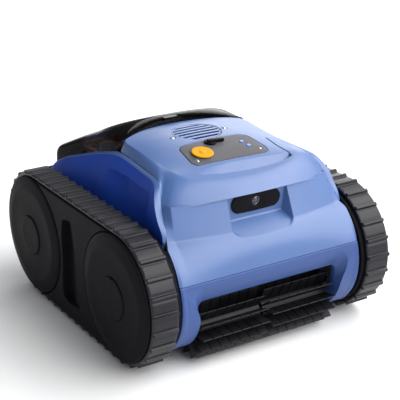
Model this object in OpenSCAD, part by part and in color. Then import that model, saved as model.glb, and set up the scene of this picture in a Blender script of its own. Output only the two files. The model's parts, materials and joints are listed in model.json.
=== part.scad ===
// Tracked robotic pool cleaner: two rubber tracks on dished wheels, a split scrubbing
// roller at the front, a lift-open smoked lid over the filter basket, and a sealed motor box.
// X runs across the machine, -Y is the front, Z is up. The origin is on the ground,
// half-way between the four wheel axles. "Left" is the -X side.

/* [Running gear] */
// Width over the four hub caps
overall_w = 430.8; // [428:0.2:434]
// Distance between the front and rear axles
wheel_base = 270.8; // [268:0.2:272]
// Radius of a wheel, which is also the radius of its outer disc
wheel_r = 94.3; // [94:0.1:94.5]
// Inner radius of the rubber track where it wraps a wheel
belt_inner_r = 95; // [94.9:0.1:95.2]
// Thickness of the track between its lugs
belt_t = 4.1; // [3.6:0.1:4.4]
// Height of a track lug
lug_h = 4; // [3:0.5:5]
// Number of lugs on one track
lug_count = 46; // [40:2:48]
// Width of the track
belt_w = 41.6; // [38:0.2:41.6]
// Distance from the middle of the machine to the outer edge of a track
belt_edge_x = 206.2; // [206:0.1:207]
// Radius of a hub cap
hub_cap_r = 32.3; // [28:0.1:36]
// Radius of an axle bush
bush_r = 9; // [7:0.5:10]

/* [Gear train] */
// Gear module
gear_m = 2; // [2:1:2]
// Teeth of the gear on the front wheel
wheel_teeth = 53; // [53:1:53]
// Teeth of the gear on the roller
roller_teeth = 17; // [17:1:17]
// Teeth of the motor pinion
pinion_teeth = 15; // [15:1:15]
// Width of a gear
gear_w = 8; // [6:1:8]

/* [Roller] */
// Radius over the flap tips
roller_r = 44.4; // [41:0.2:44.6]
// Height of the roller axis above the ground
roller_z = 47.5; // [47:0.1:48]
// Rows of flaps round the roller
flap_rows = 14; // [10:1:16]
// Length of one half of the roller
roller_half_w = 115; // [100:1:116]

/* [Body] */
// Half-width of the nose below the front crease
nose_half_w = 154.5; // [150:0.5:155]
// Half-width of the front panel above the crease
panel_half_w = 138; // [134:1:140]
// Half-width of the body tub
tub_half_w = 138; // [136:1:138]
// Thickness of the moulded shells
wall = 3; // [2.5:0.5:4]
// Height of the deck at its highest point
deck_top = 280.5; // [279:0.5:281]
// Radius of the round water outlet in the deck
vent_r = 38; // [34:1:40]

/* [Hidden] */
eps = 0.01;
fine = 96;
wheel_y = wheel_base / 2;
axle_z = belt_inner_r + belt_t + lug_h;
hub_face_x = overall_w / 2;
belt_x0 = belt_edge_x - belt_w;
belt_outer_r = belt_inner_r + belt_t;
running_gap = 0.06;
axle_r = 6;

// The lugs are evenly spaced along the cord inside the belt, 4 mm below its inner face
cord_r = belt_inner_r - 4;
lug_pitch = (2 * PI * cord_r + 2 * wheel_base) / lug_count;
lug_phase = 18.6;

// Gear centres: the roller gear and the motor pinion both mesh with the front wheel's gear
roller_reach = gear_m * (wheel_teeth + roller_teeth) / 2;
roller_y = -wheel_y - sqrt(pow(roller_reach, 2) - pow(axle_z - roller_z, 2));
pinion_reach = gear_m * (wheel_teeth + pinion_teeth) / 2;
motor_z = axle_z - 25;
motor_y = -wheel_y + sqrt(pow(pinion_reach, 2) - pow(axle_z - motor_z, 2));
gear_x = 144;
gear_backlash = 0.7;

// The deck falls away from its highest line, which lies a little in front of the axle midpoint
deck_crown_y = -15;
deck_fall = 806;
deck_half_w = 109;
function deck_z(y) = deck_top - pow(y - deck_crown_y, 2) / deck_fall;
function deck_tilt(y) = atan(2 * (y - deck_crown_y) / deck_fall);

// The rear edge of the deck is an arc that the lid wraps round
deck_rear_y = 42;
deck_corner = [113, 1];
deck_rear_sag = deck_rear_y - deck_corner[1];
deck_rear_r = (pow(deck_corner[0], 2) + pow(deck_rear_sag, 2)) / (2 * deck_rear_sag);
deck_rear_half_a = asin(deck_corner[0] / deck_rear_r);

seam_z = 138;
lip_z = 230;
crease_z = 188;
roof_gap = 0.5;

vent_y = -16;
panel_y = -90;
cap_at = [-37, -92];
switch_at = [-8, -68];
lamp_at = [[39, -81], [42, -95]];
panel_screw_at = [54.4, -107.5];
vent_screw_x = 46.3;

camera_z = 220;
camera_y = -177.5;
camera_w = 84;
camera_h = 24;

hinge_y = 214;
hinge_z = 190;
hinge_r = 3;
bay_y0 = 54;
bay_y1 = 200;
bay_half_w = 104;
bay_top = 214;
basket_top = 222;
inlet_y = 104;
pump_y = vent_y;

// ---- helpers ----

// Extrudes a flat (Y, Z) shape along X from x0 to x1
module along_x(x0, x1) {
    translate([x0, 0, 0]) rotate([90, 0, 90]) linear_extrude(x1 - x0) children();
}

// A round bar along X
module bar_x(x0, x1, y, z, r) {
    translate([x0, y, z]) rotate([0, 90, 0]) cylinder(h = x1 - x0, r = r, $fn = fine);
}

// Places something drawn for the right-hand side on the left when side is -1
module on_side(side) {
    if (side < 0) mirror([1, 0, 0]) children();
    else children();
}

// Sits its children on the deck surface at a point, tilted to match it
module on_deck(p) {
    translate([p[0], p[1], deck_z(p[1])]) rotate([-deck_tilt(p[1]), 0, 0]) children();
}

function arc(c, r, a0, a1, n) =
    [for (i = [0 : n]) let (a = a0 + (a1 - a0) * i / n) [c[0] + r * cos(a), c[1] + r * sin(a)]];

// A closed wall through a row of rings. Each ring lists the wall's outer line and then its
// inner line backwards, so point j faces point n - 1 - j across the wall.
module skin(rings) {
    n = len(rings[0]);
    m = len(rings);
    last = (m - 1) * n;
    points = [for (ring = rings) for (p = ring) p];
    sides = [for (i = [0 : m - 2], j = [0 : n - 1]) let (
        a = i * n + j, b = i * n + (j + 1) % n, c = a + n, d = b + n
    ) each [[a, b, d], [a, d, c]]];
    ends = [for (j = [0 : n / 2 - 2]) let (k = n - 1 - j) each [
        [k, k - 1, j + 1], [k, j + 1, j],
        [last + j, last + j + 1, last + k - 1], [last + j, last + k - 1, last + k]]];
    polyhedron(points, concat(sides, ends), convexity = 8);
}

// ---- gears ----

// A point on the involute of a base circle, unrolled through t degrees
function involute(base_r, t) =
    let (u = t * PI / 180) [base_r * (cos(t) + u * sin(t)), base_r * (sin(t) - u * cos(t))];

function roll_angle(base_r, r) = sqrt(pow(max(r / base_r, 1), 2) - 1) * 180 / PI;

// A spur gear outline: 20 degree involute flanks thinned by the backlash
module gear_outline(teeth) {
    pitch_r = gear_m * teeth / 2;
    base_r = pitch_r * cos(20);
    tip_r = pitch_r + 0.9 * gear_m;
    root_r = pitch_r - 1.25 * gear_m;
    t_tip = roll_angle(base_r, tip_r);
    t_start = roll_angle(base_r, max(base_r, root_r + 0.3));
    at_pitch = involute(base_r, roll_angle(base_r, pitch_r));
    half = 90 / teeth - gear_backlash / 2 / pitch_r * 180 / PI
        + atan2(at_pitch[1], at_pitch[0]);
    flank = [for (i = [0 : 4])
        let (p = involute(base_r, t_start + (t_tip - t_start) * i / 4))
        [norm(p), half - atan2(p[1], p[0])]];
    foot = [root_r, flank[0][1]];
    tooth = concat([foot], flank);
    polygon([for (k = [0 : teeth - 1]) let (a = 360 * k / teeth)
        each concat(
            [for (p = tooth) [p[0] * cos(a - p[1]), p[0] * sin(a - p[1])]],
            [for (i = [len(tooth) - 1 : -1 : 0]) let (p = tooth[i])
                [p[0] * cos(a + p[1]), p[0] * sin(a + p[1])]])]);
}

// A gear with its axis along X, turned by phase about that axis
module gear(teeth, y, z, phase) {
    translate([gear_x, y, z]) rotate([90, 0, 90]) rotate(phase)
        linear_extrude(gear_w) gear_outline(teeth);
}

// Direction from the front wheel's axle to a meshing gear, and the phase that meshes them
roller_dir = atan2(roller_z - axle_z, roller_y + wheel_y);
motor_dir = atan2(motor_z - axle_z, motor_y + wheel_y);
function mesh_phase(dir, teeth) =
    dir + 180 + 180 / teeth + (dir * wheel_teeth / teeth) % (360 / teeth);

// ---- running gear, drawn for the right-hand side ----

module track_path_2d(r) {
    for (s = [-1, 1]) translate([s * wheel_y, axle_z]) circle(r = r, $fn = 144);
    translate([-wheel_y, axle_z - r]) square([wheel_base, 2 * r]);
}

// Puts a lug at a distance along the cord, measured from the middle of the upper run
module at_track(s) {
    half_turn = PI * cord_r;
    loop = 2 * half_turn + 2 * wheel_base;
    u = ((s + wheel_y) % loop + loop) % loop;
    if (u < wheel_base)
        translate([-wheel_y + u, axle_z]) children();
    else if (u < wheel_base + half_turn)
        translate([wheel_y, axle_z]) rotate(-(u - wheel_base) / cord_r * 180 / PI) children();
    else if (u < 2 * wheel_base + half_turn)
        translate([wheel_y - (u - wheel_base - half_turn), axle_z]) rotate(180) children();
    else
        translate([-wheel_y, axle_z])
            rotate(180 - (u - 2 * wheel_base - half_turn) / cord_r * 180 / PI) children();
}

module track(side) {
    lug_foot = 3.2;
    lug_top = 2;
    color("#1b1b1f") on_side(side) along_x(belt_x0, belt_edge_x) {
        difference() {
            track_path_2d(belt_outer_r);
            track_path_2d(belt_inner_r);
        }
        for (i = [0 : lug_count - 1]) at_track(lug_phase + i * lug_pitch)
            polygon([[-lug_foot, belt_outer_r - 1], [lug_foot, belt_outer_r - 1],
                [lug_top, belt_outer_r + lug_h], [-lug_top, belt_outer_r + lug_h]]);
    }
}

sleeve_r = 17;

// The turned section of a wheel: hub sleeve, dished disc and rim
module wheel_section(hub_x) {
    rim_t = 5;
    disc_t = 3.5;
    rim_x = 158;
    face_x = hub_face_x - 3;
    polygon([
        [bush_r + running_gap, hub_x], [sleeve_r, hub_x], [sleeve_r, face_x - 9],
        [wheel_r - rim_t, face_x - 9],
        [wheel_r - rim_t, rim_x], [wheel_r - 0.6, rim_x], [wheel_r - 0.6, face_x - 5],
        [wheel_r, face_x - 5], [wheel_r, face_x - 2], [wheel_r - 2, face_x - 0.8],
        [wheel_r * 0.8, face_x + 1], [hub_cap_r + 0.4, face_x + 2],
        [hub_cap_r + 0.4, face_x - disc_t + 2], [13, face_x - disc_t + 2],
        [13, face_x - 5.5], [bush_r + running_gap, face_x - 5.5]
    ]);
}

module wheel_blank(y, hub_x) {
    translate([0, y, axle_z]) rotate([0, 90, 0]) rotate_extrude($fn = fine)
        wheel_section(hub_x);
    for (a = [0 : 60 : 300])
        translate([belt_x0 + 1, y, axle_z]) rotate([a, 0, 0]) translate([0, -1.5, 15])
            cube([hub_face_x - belt_x0 - 12, 3, wheel_r - 18]);
}

module front_wheel(side) {
    color("#26262a") on_side(side) wheel_blank(-wheel_y, gear_x);
}

// The gear that is fixed on the front wheel's hub, with a drum that reaches the spokes
module drive_gear(side) {
    drum_r = 44;
    drum_x = belt_x0 + 0.9;
    color("#e8e4d8") on_side(side) {
        difference() {
            gear(wheel_teeth, -wheel_y, axle_z, 0);
            bar_x(gear_x - 1, gear_x + gear_w + 1, -wheel_y, axle_z, sleeve_r + running_gap);
        }
        difference() {
            bar_x(gear_x + gear_w - 1, drum_x, -wheel_y, axle_z, drum_r);
            bar_x(gear_x + gear_w - 2, drum_x + 1, -wheel_y, axle_z, drum_r - 4);
        }
    }
}

module rear_wheel(side) {
    color("#26262a") on_side(side) wheel_blank(wheel_y, gear_x);
}

module hub_cap(y, side) {
    face_x = hub_face_x - 3;
    notch = 3;
    color("#2a2a2e") on_side(side) difference() {
        bar_x(face_x - 1.4, hub_face_x, y, axle_z, hub_cap_r);
        for (s = [-1, 1]) bar_x(hub_face_x - 2, hub_face_x + 1, y, axle_z + s * hub_cap_r, notch);
    }
}

module wheel_axles() {
    color("silver") for (side = [-1, 1], y = [-wheel_y, wheel_y]) on_side(side) {
        bar_x(126, hub_face_x - 8.4, y, axle_z, axle_r);
        bar_x(hub_face_x - 8.4, hub_face_x - 6, y, axle_z, 11);
    }
}

module axle_bushes() {
    color("#e8e4d8") for (side = [-1, 1], y = [-wheel_y, wheel_y]) on_side(side) difference() {
        bar_x(tub_half_w, hub_face_x - 8.4, y, axle_z, bush_r);
        bar_x(tub_half_w - 1, hub_face_x - 8, y, axle_z, axle_r);
    }
}

// Outline of the pocket in a side panel: a slanted hourglass beside the rear wheel disc
side_pocket = [[33, 44], [35, 60], [31, 104], [33, 136], [28, 160], [3, 168], [-27, 54],
    [-20, 38], [18, 36]];

// The fixed panel that fills the space between the two wheel discs, held on four posts
module side_panel(side) {
    gap = 1.4;
    face_x = 209;
    plate_t = 3;
    pocket_depth = 12;
    post_r = 7;
    color("#222226") on_side(side) {
        difference() {
            along_x(face_x - plate_t, face_x) difference() {
                translate([-wheel_y, axle_z - wheel_r]) square([wheel_base, 2 * wheel_r]);
                for (s = [-1, 1]) translate([s * wheel_y, axle_z])
                    circle(r = wheel_r + gap, $fn = 144);
            }
            along_x(face_x - plate_t - 1, face_x + 1) polygon(side_pocket);
        }
        difference() {
            along_x(face_x - pocket_depth - 2, face_x - plate_t + eps)
                intersection() {
                    offset(delta = 2) polygon(side_pocket);
                    translate([-wheel_y, 0]) difference() {
                        square([wheel_base, 200]);
                        for (y = [0, wheel_base]) translate([y, axle_z])
                            circle(r = wheel_r + gap, $fn = 144);
                    }
                }
            along_x(face_x - pocket_depth, face_x + 1) polygon(side_pocket);
        }
        for (z = [52, 80, 120, 148])
            bar_x(tub_half_w, face_x - pocket_depth - 1, z < 100 ? -4 : 14, z, post_r);
    }
}

module drive_motor(side) {
    color("#8a8d92") on_side(side) {
        bar_x(70, 126, motor_y, motor_z, 18);
        bar_x(126, 134, motor_y, motor_z, 24);
    }
}

module motor_pinion(side) {
    shaft_r = 3;
    color("#d8c27a") on_side(side) {
        gear(pinion_teeth, motor_y, motor_z, mesh_phase(motor_dir, pinion_teeth));
        bar_x(134 + 0.3, gear_x + 1, motor_y, motor_z, shaft_r);
    }
}

// ---- scrubbing roller, drawn for the right-hand side ----

core_r = 16;
roller_gap = 2.5;
roller_bore_r = 5;

module roller_core(side) {
    color("#2c2c31") on_side(side) difference() {
        bar_x(roller_gap, roller_gap + roller_half_w, roller_y, roller_z, core_r);
        bar_x(roller_gap - 1, roller_gap + roller_half_w + 1, roller_y, roller_z,
            roller_bore_r + running_gap);
    }
}

// Thin rubber flaps stand out of a sleeve that is pushed over the core
module roller_flaps(side) {
    sleeve_t = 2.5;
    flap_t = 2;
    step = 360 / flap_rows;
    shift = side < 0 ? 0 : step / 2;
    color("#17171a") on_side(side) along_x(roller_gap, roller_gap + roller_half_w)
        translate([roller_y, roller_z]) difference() {
            union() {
                circle(r = core_r + sleeve_t, $fn = fine);
                for (i = [0 : flap_rows - 1]) rotate(i * step + shift)
                    translate([core_r + 1, -flap_t / 2]) square([roller_r - core_r - 1, flap_t]);
            }
            circle(r = core_r, $fn = fine);
        }
}

module roller_gear(side) {
    collar_r = 10;
    core_end = roller_gap + roller_half_w;
    color("#e8e4d8") on_side(side) difference() {
        union() {
            gear(roller_teeth, roller_y, roller_z, mesh_phase(roller_dir, roller_teeth));
            bar_x(core_end, gear_x + 1, roller_y, roller_z, collar_r);
        }
        bar_x(core_end - 1, gear_x + gear_w + 1, roller_y, roller_z, roller_bore_r + running_gap);
    }
}

module roller_axle() {
    color("silver") bar_x(-156, 156, roller_y, roller_z, roller_bore_r);
}

// ---- body shells ----

// The nose bulges forward in the middle above the seam
function bow(x, half) = 1 - pow(x / half, 2);

// Outer line of the nose at a distance x from the middle: up from the seam to the crease,
// then up the front panel to the lip, or straight back where the panel has ended
function nose_line(x) = let (
    beside = abs(x) > panel_half_w,
    b = bow(min(abs(x), panel_half_w), panel_half_w),
    seam = [-221.3, seam_z],
    crease = [-181.1 - 18 * b, crease_z],
    lip = beside ? crease + [3, 2] : [-162.7 - 19 * b, lip_z + 1.9],
    belly = [(seam[0] + crease[0]) / 2 - 9, (seam[1] + crease[1]) / 2 + 6]
) [
    for (i = [0 : 6]) let (t = i / 6)
        pow(1 - t, 2) * seam + 2 * t * (1 - t) * belly + t * t * crease,
    (crease + lip) / 2,
    lip
];

// A shell ring at x: the outer line, then the same line moved back by the wall
function shell_ring(line, x, back) = concat(
    [for (p = line) [x, p[0], p[1]]],
    [for (i = [len(line) - 1 : -1 : 0]) [x, line[i][0] + back, line[i][1]]]
);

// The recess for the camera window: its back plate, floor and side walls
module camera_tray() {
    half = 52;
    back_y = camera_y + wall;
    along_x(-half - wall, half + wall)
        polygon([[-193, 190], [-192, 194], [back_y, 194], [back_y, 190]]);
    for (s = [-1, 1]) on_side(s) along_x(half, half + wall)
        polygon([[-193, 190], [-177, lip_z + 1.9], [back_y, lip_z + 1.9], [back_y, 190]]);
    difference() {
        along_x(-half - 1, half + 1) translate([camera_y, 190]) square([wall, lip_z - 188.1]);
        for (s = [-1, 1]) translate([s * (camera_w - camera_h) / 2, camera_y - 1, camera_z])
            rotate([-90, 0, 0]) cylinder(h = wall + 2, d = camera_h + 0.6, $fn = 64);
        translate([-(camera_w - camera_h) / 2, camera_y - 1, camera_z - camera_h / 2 - 0.3])
            cube([camera_w - camera_h, wall + 2, camera_h + 0.6]);
    }
}

module nose_shell() {
    steps = 12;
    half = panel_half_w;
    edge = 0.5;
    stations = concat([-nose_half_w, -half - edge],
        [for (i = [0 : steps]) -half + 2 * half * i / steps], [half + edge, nose_half_w]);
    color("#7d9be6") {
        difference() {
            skin([for (x = stations) shell_ring(nose_line(x), x, 2 * wall)]);
            translate([-52, -230, 194]) cube([104, 70, 60]);
        }
        camera_tray();
    }
}

// Outline of the lip under the visor, and of the deck above it
function lip_outline() = concat(
    [for (i = [-6 : 6]) let (x = i / 6 * 132) [x, -163 - 20 * bow(x, 132)]],
    [[138, -154], [132, -138], [124, -122], [117, -70], [112, 10], [100, 34]],
    [[-100, 34], [-112, 10], [-117, -70], [-124, -122], [-132, -138], [-138, -154]]
);
function deck_outline() = concat(
    arc([0, deck_rear_y - deck_rear_r], deck_rear_r, 90 - deck_rear_half_a,
        90 + deck_rear_half_a, 16),
    [[-deck_half_w, -118], [-102, -136], [-84, -150], [-50, -160], [0, -164],
        [50, -160], [84, -150], [102, -136], [deck_half_w, -118]]
);

// The solid hood: a lofted skirt from the lip up to the deck's edge, cut by the deck's curve
module hood_mass(shrink, foot_z) {
    skirt_top = 258 - shrink;
    intersection() {
        along_x(-150, 150) polygon(concat(
            [for (i = [0 : 16]) let (y = deck_rear_y + 2 - i * 14) [y, deck_z(y) - shrink]],
            [[-200, 200], [60, 200]]));
        union() {
            hull() {
                translate([0, 0, foot_z]) linear_extrude(0.5)
                    offset(delta = -shrink) polygon(lip_outline());
                translate([0, 0, skirt_top]) linear_extrude(1)
                    offset(delta = -shrink) polygon(deck_outline());
            }
            translate([0, 0, skirt_top - 1]) linear_extrude(28)
                offset(delta = -shrink - 0.2) polygon(deck_outline());
        }
    }
}

module panel_plate_2d() {
    polygon([[-52, 34], [50, 35], [61, 27], [65.5, -16], [62, -28], [52, -31], [-50, -28],
        [-62, -29], [-67, -18], [-61, 25]]);
}

module top_hood() {
    scoop_half = 90;
    color("#8fa9ec") difference() {
        hood_mass(0, lip_z + 2);
        difference() {
            hood_mass(wall, lip_z - 1);
            on_deck([0, panel_y]) translate([-70, -36, -9]) cube([140, 74, 9]);
            translate([-scoop_half - 4, -156, 232]) cube([2 * scoop_half + 8, 34, 40]);
            translate([0, vent_y, 250]) cylinder(h = 40, r = vent_r + 4, $fn = fine);
        }
        translate([0, vent_y, 240]) cylinder(h = 60, r = vent_r, $fn = fine);
        on_deck([0, panel_y]) translate([0, 0, -3.2]) linear_extrude(20) panel_plate_2d();
        on_deck(cap_at) translate([0, 0, -30]) cylinder(h = 40, r = 15, $fn = 48);
        on_deck([0, -128]) translate([-scoop_half, -24, -14]) rotate([-16, 0, 0])
            cube([2 * scoop_half, 22, 30]);
        for (s = [-1, 1]) {
            on_deck([s * vent_screw_x, vent_y - 7]) translate([0, 0, -11])
                cylinder(h = 20, r = 4, $fn = 32);
            on_deck([s * panel_screw_at[0], panel_screw_at[1]]) translate([0, 0, -11])
                cylinder(h = 20, r = 3, $fn = 32);
        }
        for (p = lamp_at) on_deck(p) translate([-3.4, -2.9, -11]) cube([6.8, 5.8, 20]);
    }
}

// Top edge of a side fairing: distance from the middle and height, along Y
fairing_edge = [
    [-172, 146, 190], [-164, 145, 206], [-150, 143, 230], [-138, 134, 248], [-124, 127, 257],
    [-79, 122, 259], [0, 117, 260], [20, 115, 258], [57, 114, 247], [101, 120, 234],
    [163, 130, 212], [195, 134, 196], [203, 136, 190]
];

module side_fairing(side) {
    foot_z = 168;
    full_x = 152;
    last = len(fairing_edge) - 1;
    color("#2446a8") on_side(side) skin([for (i = [last : -1 : 0]) let (
        e = fairing_edge[i], y = e[0], x = e[1], z = e[2] - roof_gap,
        mid = z - (z - foot_z) * 0.5)
        [[x, y, z], [x + 0.45 * (full_x - x), y, z - 4], [full_x - 0.12 * (full_x - x), y, mid],
            [full_x, y, foot_z], [full_x - wall, y, foot_z],
            [full_x - wall - 0.12 * (full_x - x), y, mid - 2],
            [x + 0.3 * (full_x - x), y, z - 9], [x, y, z - 6]]]);
}

module front_frame() {
    arm_in = 119;
    seam_gap = 0.4;
    arm_r = 92.5;
    color("#6a8be0") difference() {
        union() {
            along_x(-nose_half_w, nose_half_w) intersection() {
                difference() {
                    translate([-wheel_y, axle_z]) circle(r = arm_r, $fn = 144);
                    translate([-wheel_y, axle_z]) circle(r = arm_r - 5, $fn = 144);
                }
                translate([-250, 24]) square([90, seam_z - seam_gap - 24]);
            }
            for (s = [-1, 1]) on_side(s) difference() {
                along_x(arm_in, nose_half_w) intersection() {
                    translate([-wheel_y, axle_z]) circle(r = arm_r, $fn = 144);
                    translate([-250, 24]) square([105, seam_z - seam_gap - 24]);
                }
                along_x(arm_in + 7, nose_half_w + 1) intersection() {
                    translate([-wheel_y, axle_z]) circle(r = arm_r - 5, $fn = 144);
                    translate([-222, 10]) square([90, 200]);
                }
            }
            along_x(-arm_in - 1, arm_in + 1) translate([-216, 104]) square([80, 4]);
        }
        along_x(-arm_in, arm_in) translate([-260, 0]) square([200, 103.5]);
        bar_x(-200, 200, roller_y, roller_z, roller_bore_r + 6);
        for (s = [-1, 1]) on_side(s) {
            bar_x(gear_x - 1, 200, -wheel_y, axle_z, gear_m * wheel_teeth / 2 + 4);
            bar_x(gear_x - 1, 200, roller_y, roller_z, gear_m * roller_teeth / 2 + 3);
        }
    }
    color("#6a8be0") for (s = [-1, 1]) on_side(s) difference() {
        bar_x(arm_in + 7 - eps, arm_in + 16, roller_y, roller_z, roller_bore_r + 12);
        bar_x(arm_in, arm_in + 20, roller_y, roller_z, roller_bore_r + 6);
    }
}

module base_tub() {
    color("#2b3a6e") difference() {
        union() {
            difference() {
                along_x(-tub_half_w, tub_half_w)
                    polygon([[-128, 22], [bay_y1 + 4, 22], [bay_y1 + 4, 150], [-128, 150]]);
                along_x(-tub_half_w + wall, tub_half_w - wall)
                    polygon([[-125, 25], [bay_y1 + 1, 25], [bay_y1 + 1, 151], [-125, 151]]);
            }
            for (s = [-1, 1], y = [-wheel_y, wheel_y]) on_side(s)
                bar_x(tub_half_w - 12, tub_half_w, y, axle_z, 15);
        }
        for (y = [-wheel_y, wheel_y]) bar_x(-200, 200, y, axle_z, axle_r);
        bar_x(-200, 200, motor_y, motor_z, 24.3);
        translate([-80, inlet_y - 18, 10]) cube([160, 36, 20]);
    }
}

module bottom_plate() {
    color("#303036") difference() {
        union() {
            translate([-tub_half_w, -122, 17]) cube([2 * tub_half_w, 322, 4.6]);
            translate([-90, inlet_y - 26, 12]) cube([180, 52, 6]);
        }
        translate([-80, inlet_y - 18, 5]) cube([160, 36, 30]);
    }
}

module rear_shell() {
    top = hinge_z - 7;
    color("#3556b8") {
        difference() {
            along_x(-148, 148) polygon(concat(
                [[bay_y1 + 5, 26]],
                [[206, 26], [212, 40], [215, 60], [216, 110], [215, 160], [212, top]],
                [[bay_y1 + 5, top]]));
            along_x(-144, 144) polygon([[bay_y1 + 4, 20], [203, 20], [208, 42], [211, 60],
                [212, 110], [211, 160], [208, top + 1], [bay_y1 + 4, top + 1]]);
        }
        for (s = [-1, 1]) on_side(s) difference() {
            union() {
                bar_x(40, 60, hinge_y, hinge_z, 6);
                along_x(40, 60) polygon([[bay_y1 + 6, 176], [212, 176], [hinge_y + 4, hinge_z - 4],
                    [hinge_y - 4, hinge_z], [bay_y1 + 6, 184]]);
            }
            bar_x(30, 70, hinge_y, hinge_z, hinge_r);
        }
    }
}

// ---- filter bay, basket and lid ----

module filter_bay() {
    color("#39415c") difference() {
        translate([-bay_half_w, bay_y0, 25]) cube([2 * bay_half_w, bay_y1 - bay_y0, bay_top - 25]);
        translate([-bay_half_w + wall, bay_y0 + wall, 25 + wall])
            cube([2 * (bay_half_w - wall), bay_y1 - bay_y0 - 2 * wall, 300]);
        translate([-70, inlet_y - 14, 10]) cube([140, 28, 30]);
        translate([-45, bay_y0 - 5, 150]) cube([90, 12, 44]);
    }
}

basket_x = 96;
basket_y0 = bay_y0 + 8;
basket_y1 = bay_y1 - 8;
basket_z0 = 32;

module basket_frame() {
    post = 7;
    rim = 5;
    color("#d9601c") {
        difference() {
            translate([-basket_x, basket_y0, basket_top - rim])
                cube([2 * basket_x, basket_y1 - basket_y0, rim]);
            translate([-basket_x + post, basket_y0 + post, basket_top - rim - 1])
                cube([2 * (basket_x - post), basket_y1 - basket_y0 - 2 * post, rim + 2]);
        }
        for (s = [-1, 1], y = [basket_y0, basket_y1 - post]) on_side(s)
            translate([basket_x - post, y, basket_z0]) cube([post, post, 186]);
        difference() {
            translate([-basket_x, basket_y0, basket_z0])
                cube([2 * basket_x, basket_y1 - basket_y0, 4]);
            translate([-70, inlet_y - 14, basket_z0 - 1]) cube([140, 28, 6]);
        }
        along_x(-10, 10) polygon([[basket_y0, basket_top - 1], [basket_y0 + 14, 240],
            [basket_y0 + 30, 247], [basket_y0 + 62, 244], [basket_y1 - 18, 230],
            [basket_y1, basket_top - 1], [basket_y1 - 8, basket_top - 1],
            [basket_y1 - 24, 226], [basket_y0 + 60, 238], [basket_y0 + 32, 241],
            [basket_y0 + 20, 236], [basket_y0 + 8, basket_top - 1]]);
    }
}

// Mesh walls: thin plates with a grid of windows
module basket_mesh() {
    t = 1.2;
    rows = 6;
    z0 = basket_z0 + 5;
    z1 = basket_top - 6;
    pitch = (z1 - z0) / rows;
    color("#d8d8d2") {
        for (s = [-1, 1]) on_side(s) difference() {
            translate([basket_x - 3 - t, basket_y0 + 7, z0])
                cube([t, basket_y1 - basket_y0 - 14, z1 - z0]);
            for (i = [0 : rows - 1], j = [0 : 3])
                translate([basket_x - 9, basket_y0 + 12 + j * 28, z0 + 3 + i * pitch])
                    cube([12, 22, pitch - 6]);
        }
        for (y = [basket_y0 + 3, basket_y1 - 3 - t]) difference() {
            translate([-basket_x + 7, y, z0]) cube([2 * basket_x - 14, t, z1 - z0]);
            for (i = [0 : rows - 1], j = [-3 : 2])
                translate([j * 29 + 3, y - 2, z0 + 3 + i * pitch]) cube([23, 6, pitch - 6]);
        }
    }
}

module inlet_flap() {
    flap_z = basket_z0 + 4.3;
    color("#1c1c20") {
        translate([-72, inlet_y - 16, flap_z]) cube([144, 36, 2]);
        bar_x(-72, 72, inlet_y + 20, flap_z + 1.5, 1.5);
    }
}

// Middle line of the lid's outer surface from its front edge to the rear, then down the back
lid_line = [
    [0, 118, 277], [20, 118, 280], [42, 117, 282.4], [70, 118, 284], [95, 120, 277],
    [125, 124, 263], [155, 128, 249], [180, 131, 237.4], [200, 132, 228]
];
function lid_edge_z(y) = y < 20 ? 259.5 : y < 57 ? 259.5 - (y - 20) * 0.3 :
    y < 101 ? 248 - (y - 57) * 0.295 : y < 163 ? 235 - (y - 101) * 0.355 :
    213 - (y - 163) * 0.47;

// A cross-section of the lid: a flat top that rounds over into the sides
function lid_ring(y, half, top, t) = let (
    foot = min(lid_edge_z(y), top - 9) + 0.3,
    drop = top - foot,
    outer = [for (a = [0 : 15 : 90]) [half - 34 * (1 - cos(a)), foot + 5 + (drop - 5 - 0.03 * half) * sin(a)]],
    line = concat([[half, foot]], outer, [[half * 0.3, top - 0.6], [0, top]]),
    full = concat(line, [for (i = [len(line) - 2 : -1 : 0]) [-line[i][0], line[i][1]]]),
    inner = [for (i = [len(full) - 1 : -1 : 0]) let (p = full[i])
        [p[0] * (1 - t / half), (p[1] - foot) * (1 - t / drop) + foot]]
) [for (p = concat(full, inner)) [p[0], y, p[1]]];

module lid() {
    t = 3;
    color("#22232a", 0.6) {
        difference() {
            union() {
                skin([for (l = lid_line) lid_ring(l[0], l[1], l[2], t)]);
                along_x(-130, 130) polygon([[197, 227.4], [200, 227], [206, 223.6], [209, 219],
                    [209, 195], [206, 195], [206, 218], [203, 222]]);
            }
            translate([0, 0, 200]) linear_extrude(100)
                offset(delta = roof_gap) polygon(deck_outline());
            translate([-13, 56, 250]) cube([26, 17, 60]);
        }
        for (s = [-1, 1]) on_side(s) difference() {
            union() {
                bar_x(18, 39.5, hinge_y, hinge_z, 6);
                along_x(18, 39.5) polygon([[206, 200], [209, 200], [hinge_y + 5, hinge_z + 3],
                    [hinge_y - 6, hinge_z + 1]]);
            }
            bar_x(10, 50, hinge_y, hinge_z, hinge_r + running_gap);
        }
    }
}

module lid_hinge_pin() {
    color("silver") for (s = [-1, 1]) on_side(s)
        bar_x(16, 62, hinge_y, hinge_z, hinge_r);
}

module lid_latch() {
    color("#141416") translate([-12.5, 56.5, 276]) cube([25, 11, 7.4]);
}

// ---- deck fittings ----

module vent_grille() {
    slats = 7;
    pitch = 2 * vent_r / slats;
    color("#5f7fd8") {
        difference() {
            translate([0, vent_y, 268]) cylinder(h = 10, r = vent_r - 0.3, $fn = fine);
            translate([0, vent_y, 260]) cylinder(h = 30, r = vent_r - 3, $fn = fine);
        }
        intersection() {
            translate([0, vent_y, 260]) cylinder(h = 25, r = vent_r - 2, $fn = fine);
            for (i = [0 : slats]) translate([-vent_r, vent_y - vent_r + (i - 0.15) * pitch, 269.5])
                rotate([40, 0, 0]) cube([2 * vent_r, 1.8, 10]);
        }
    }
}

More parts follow.
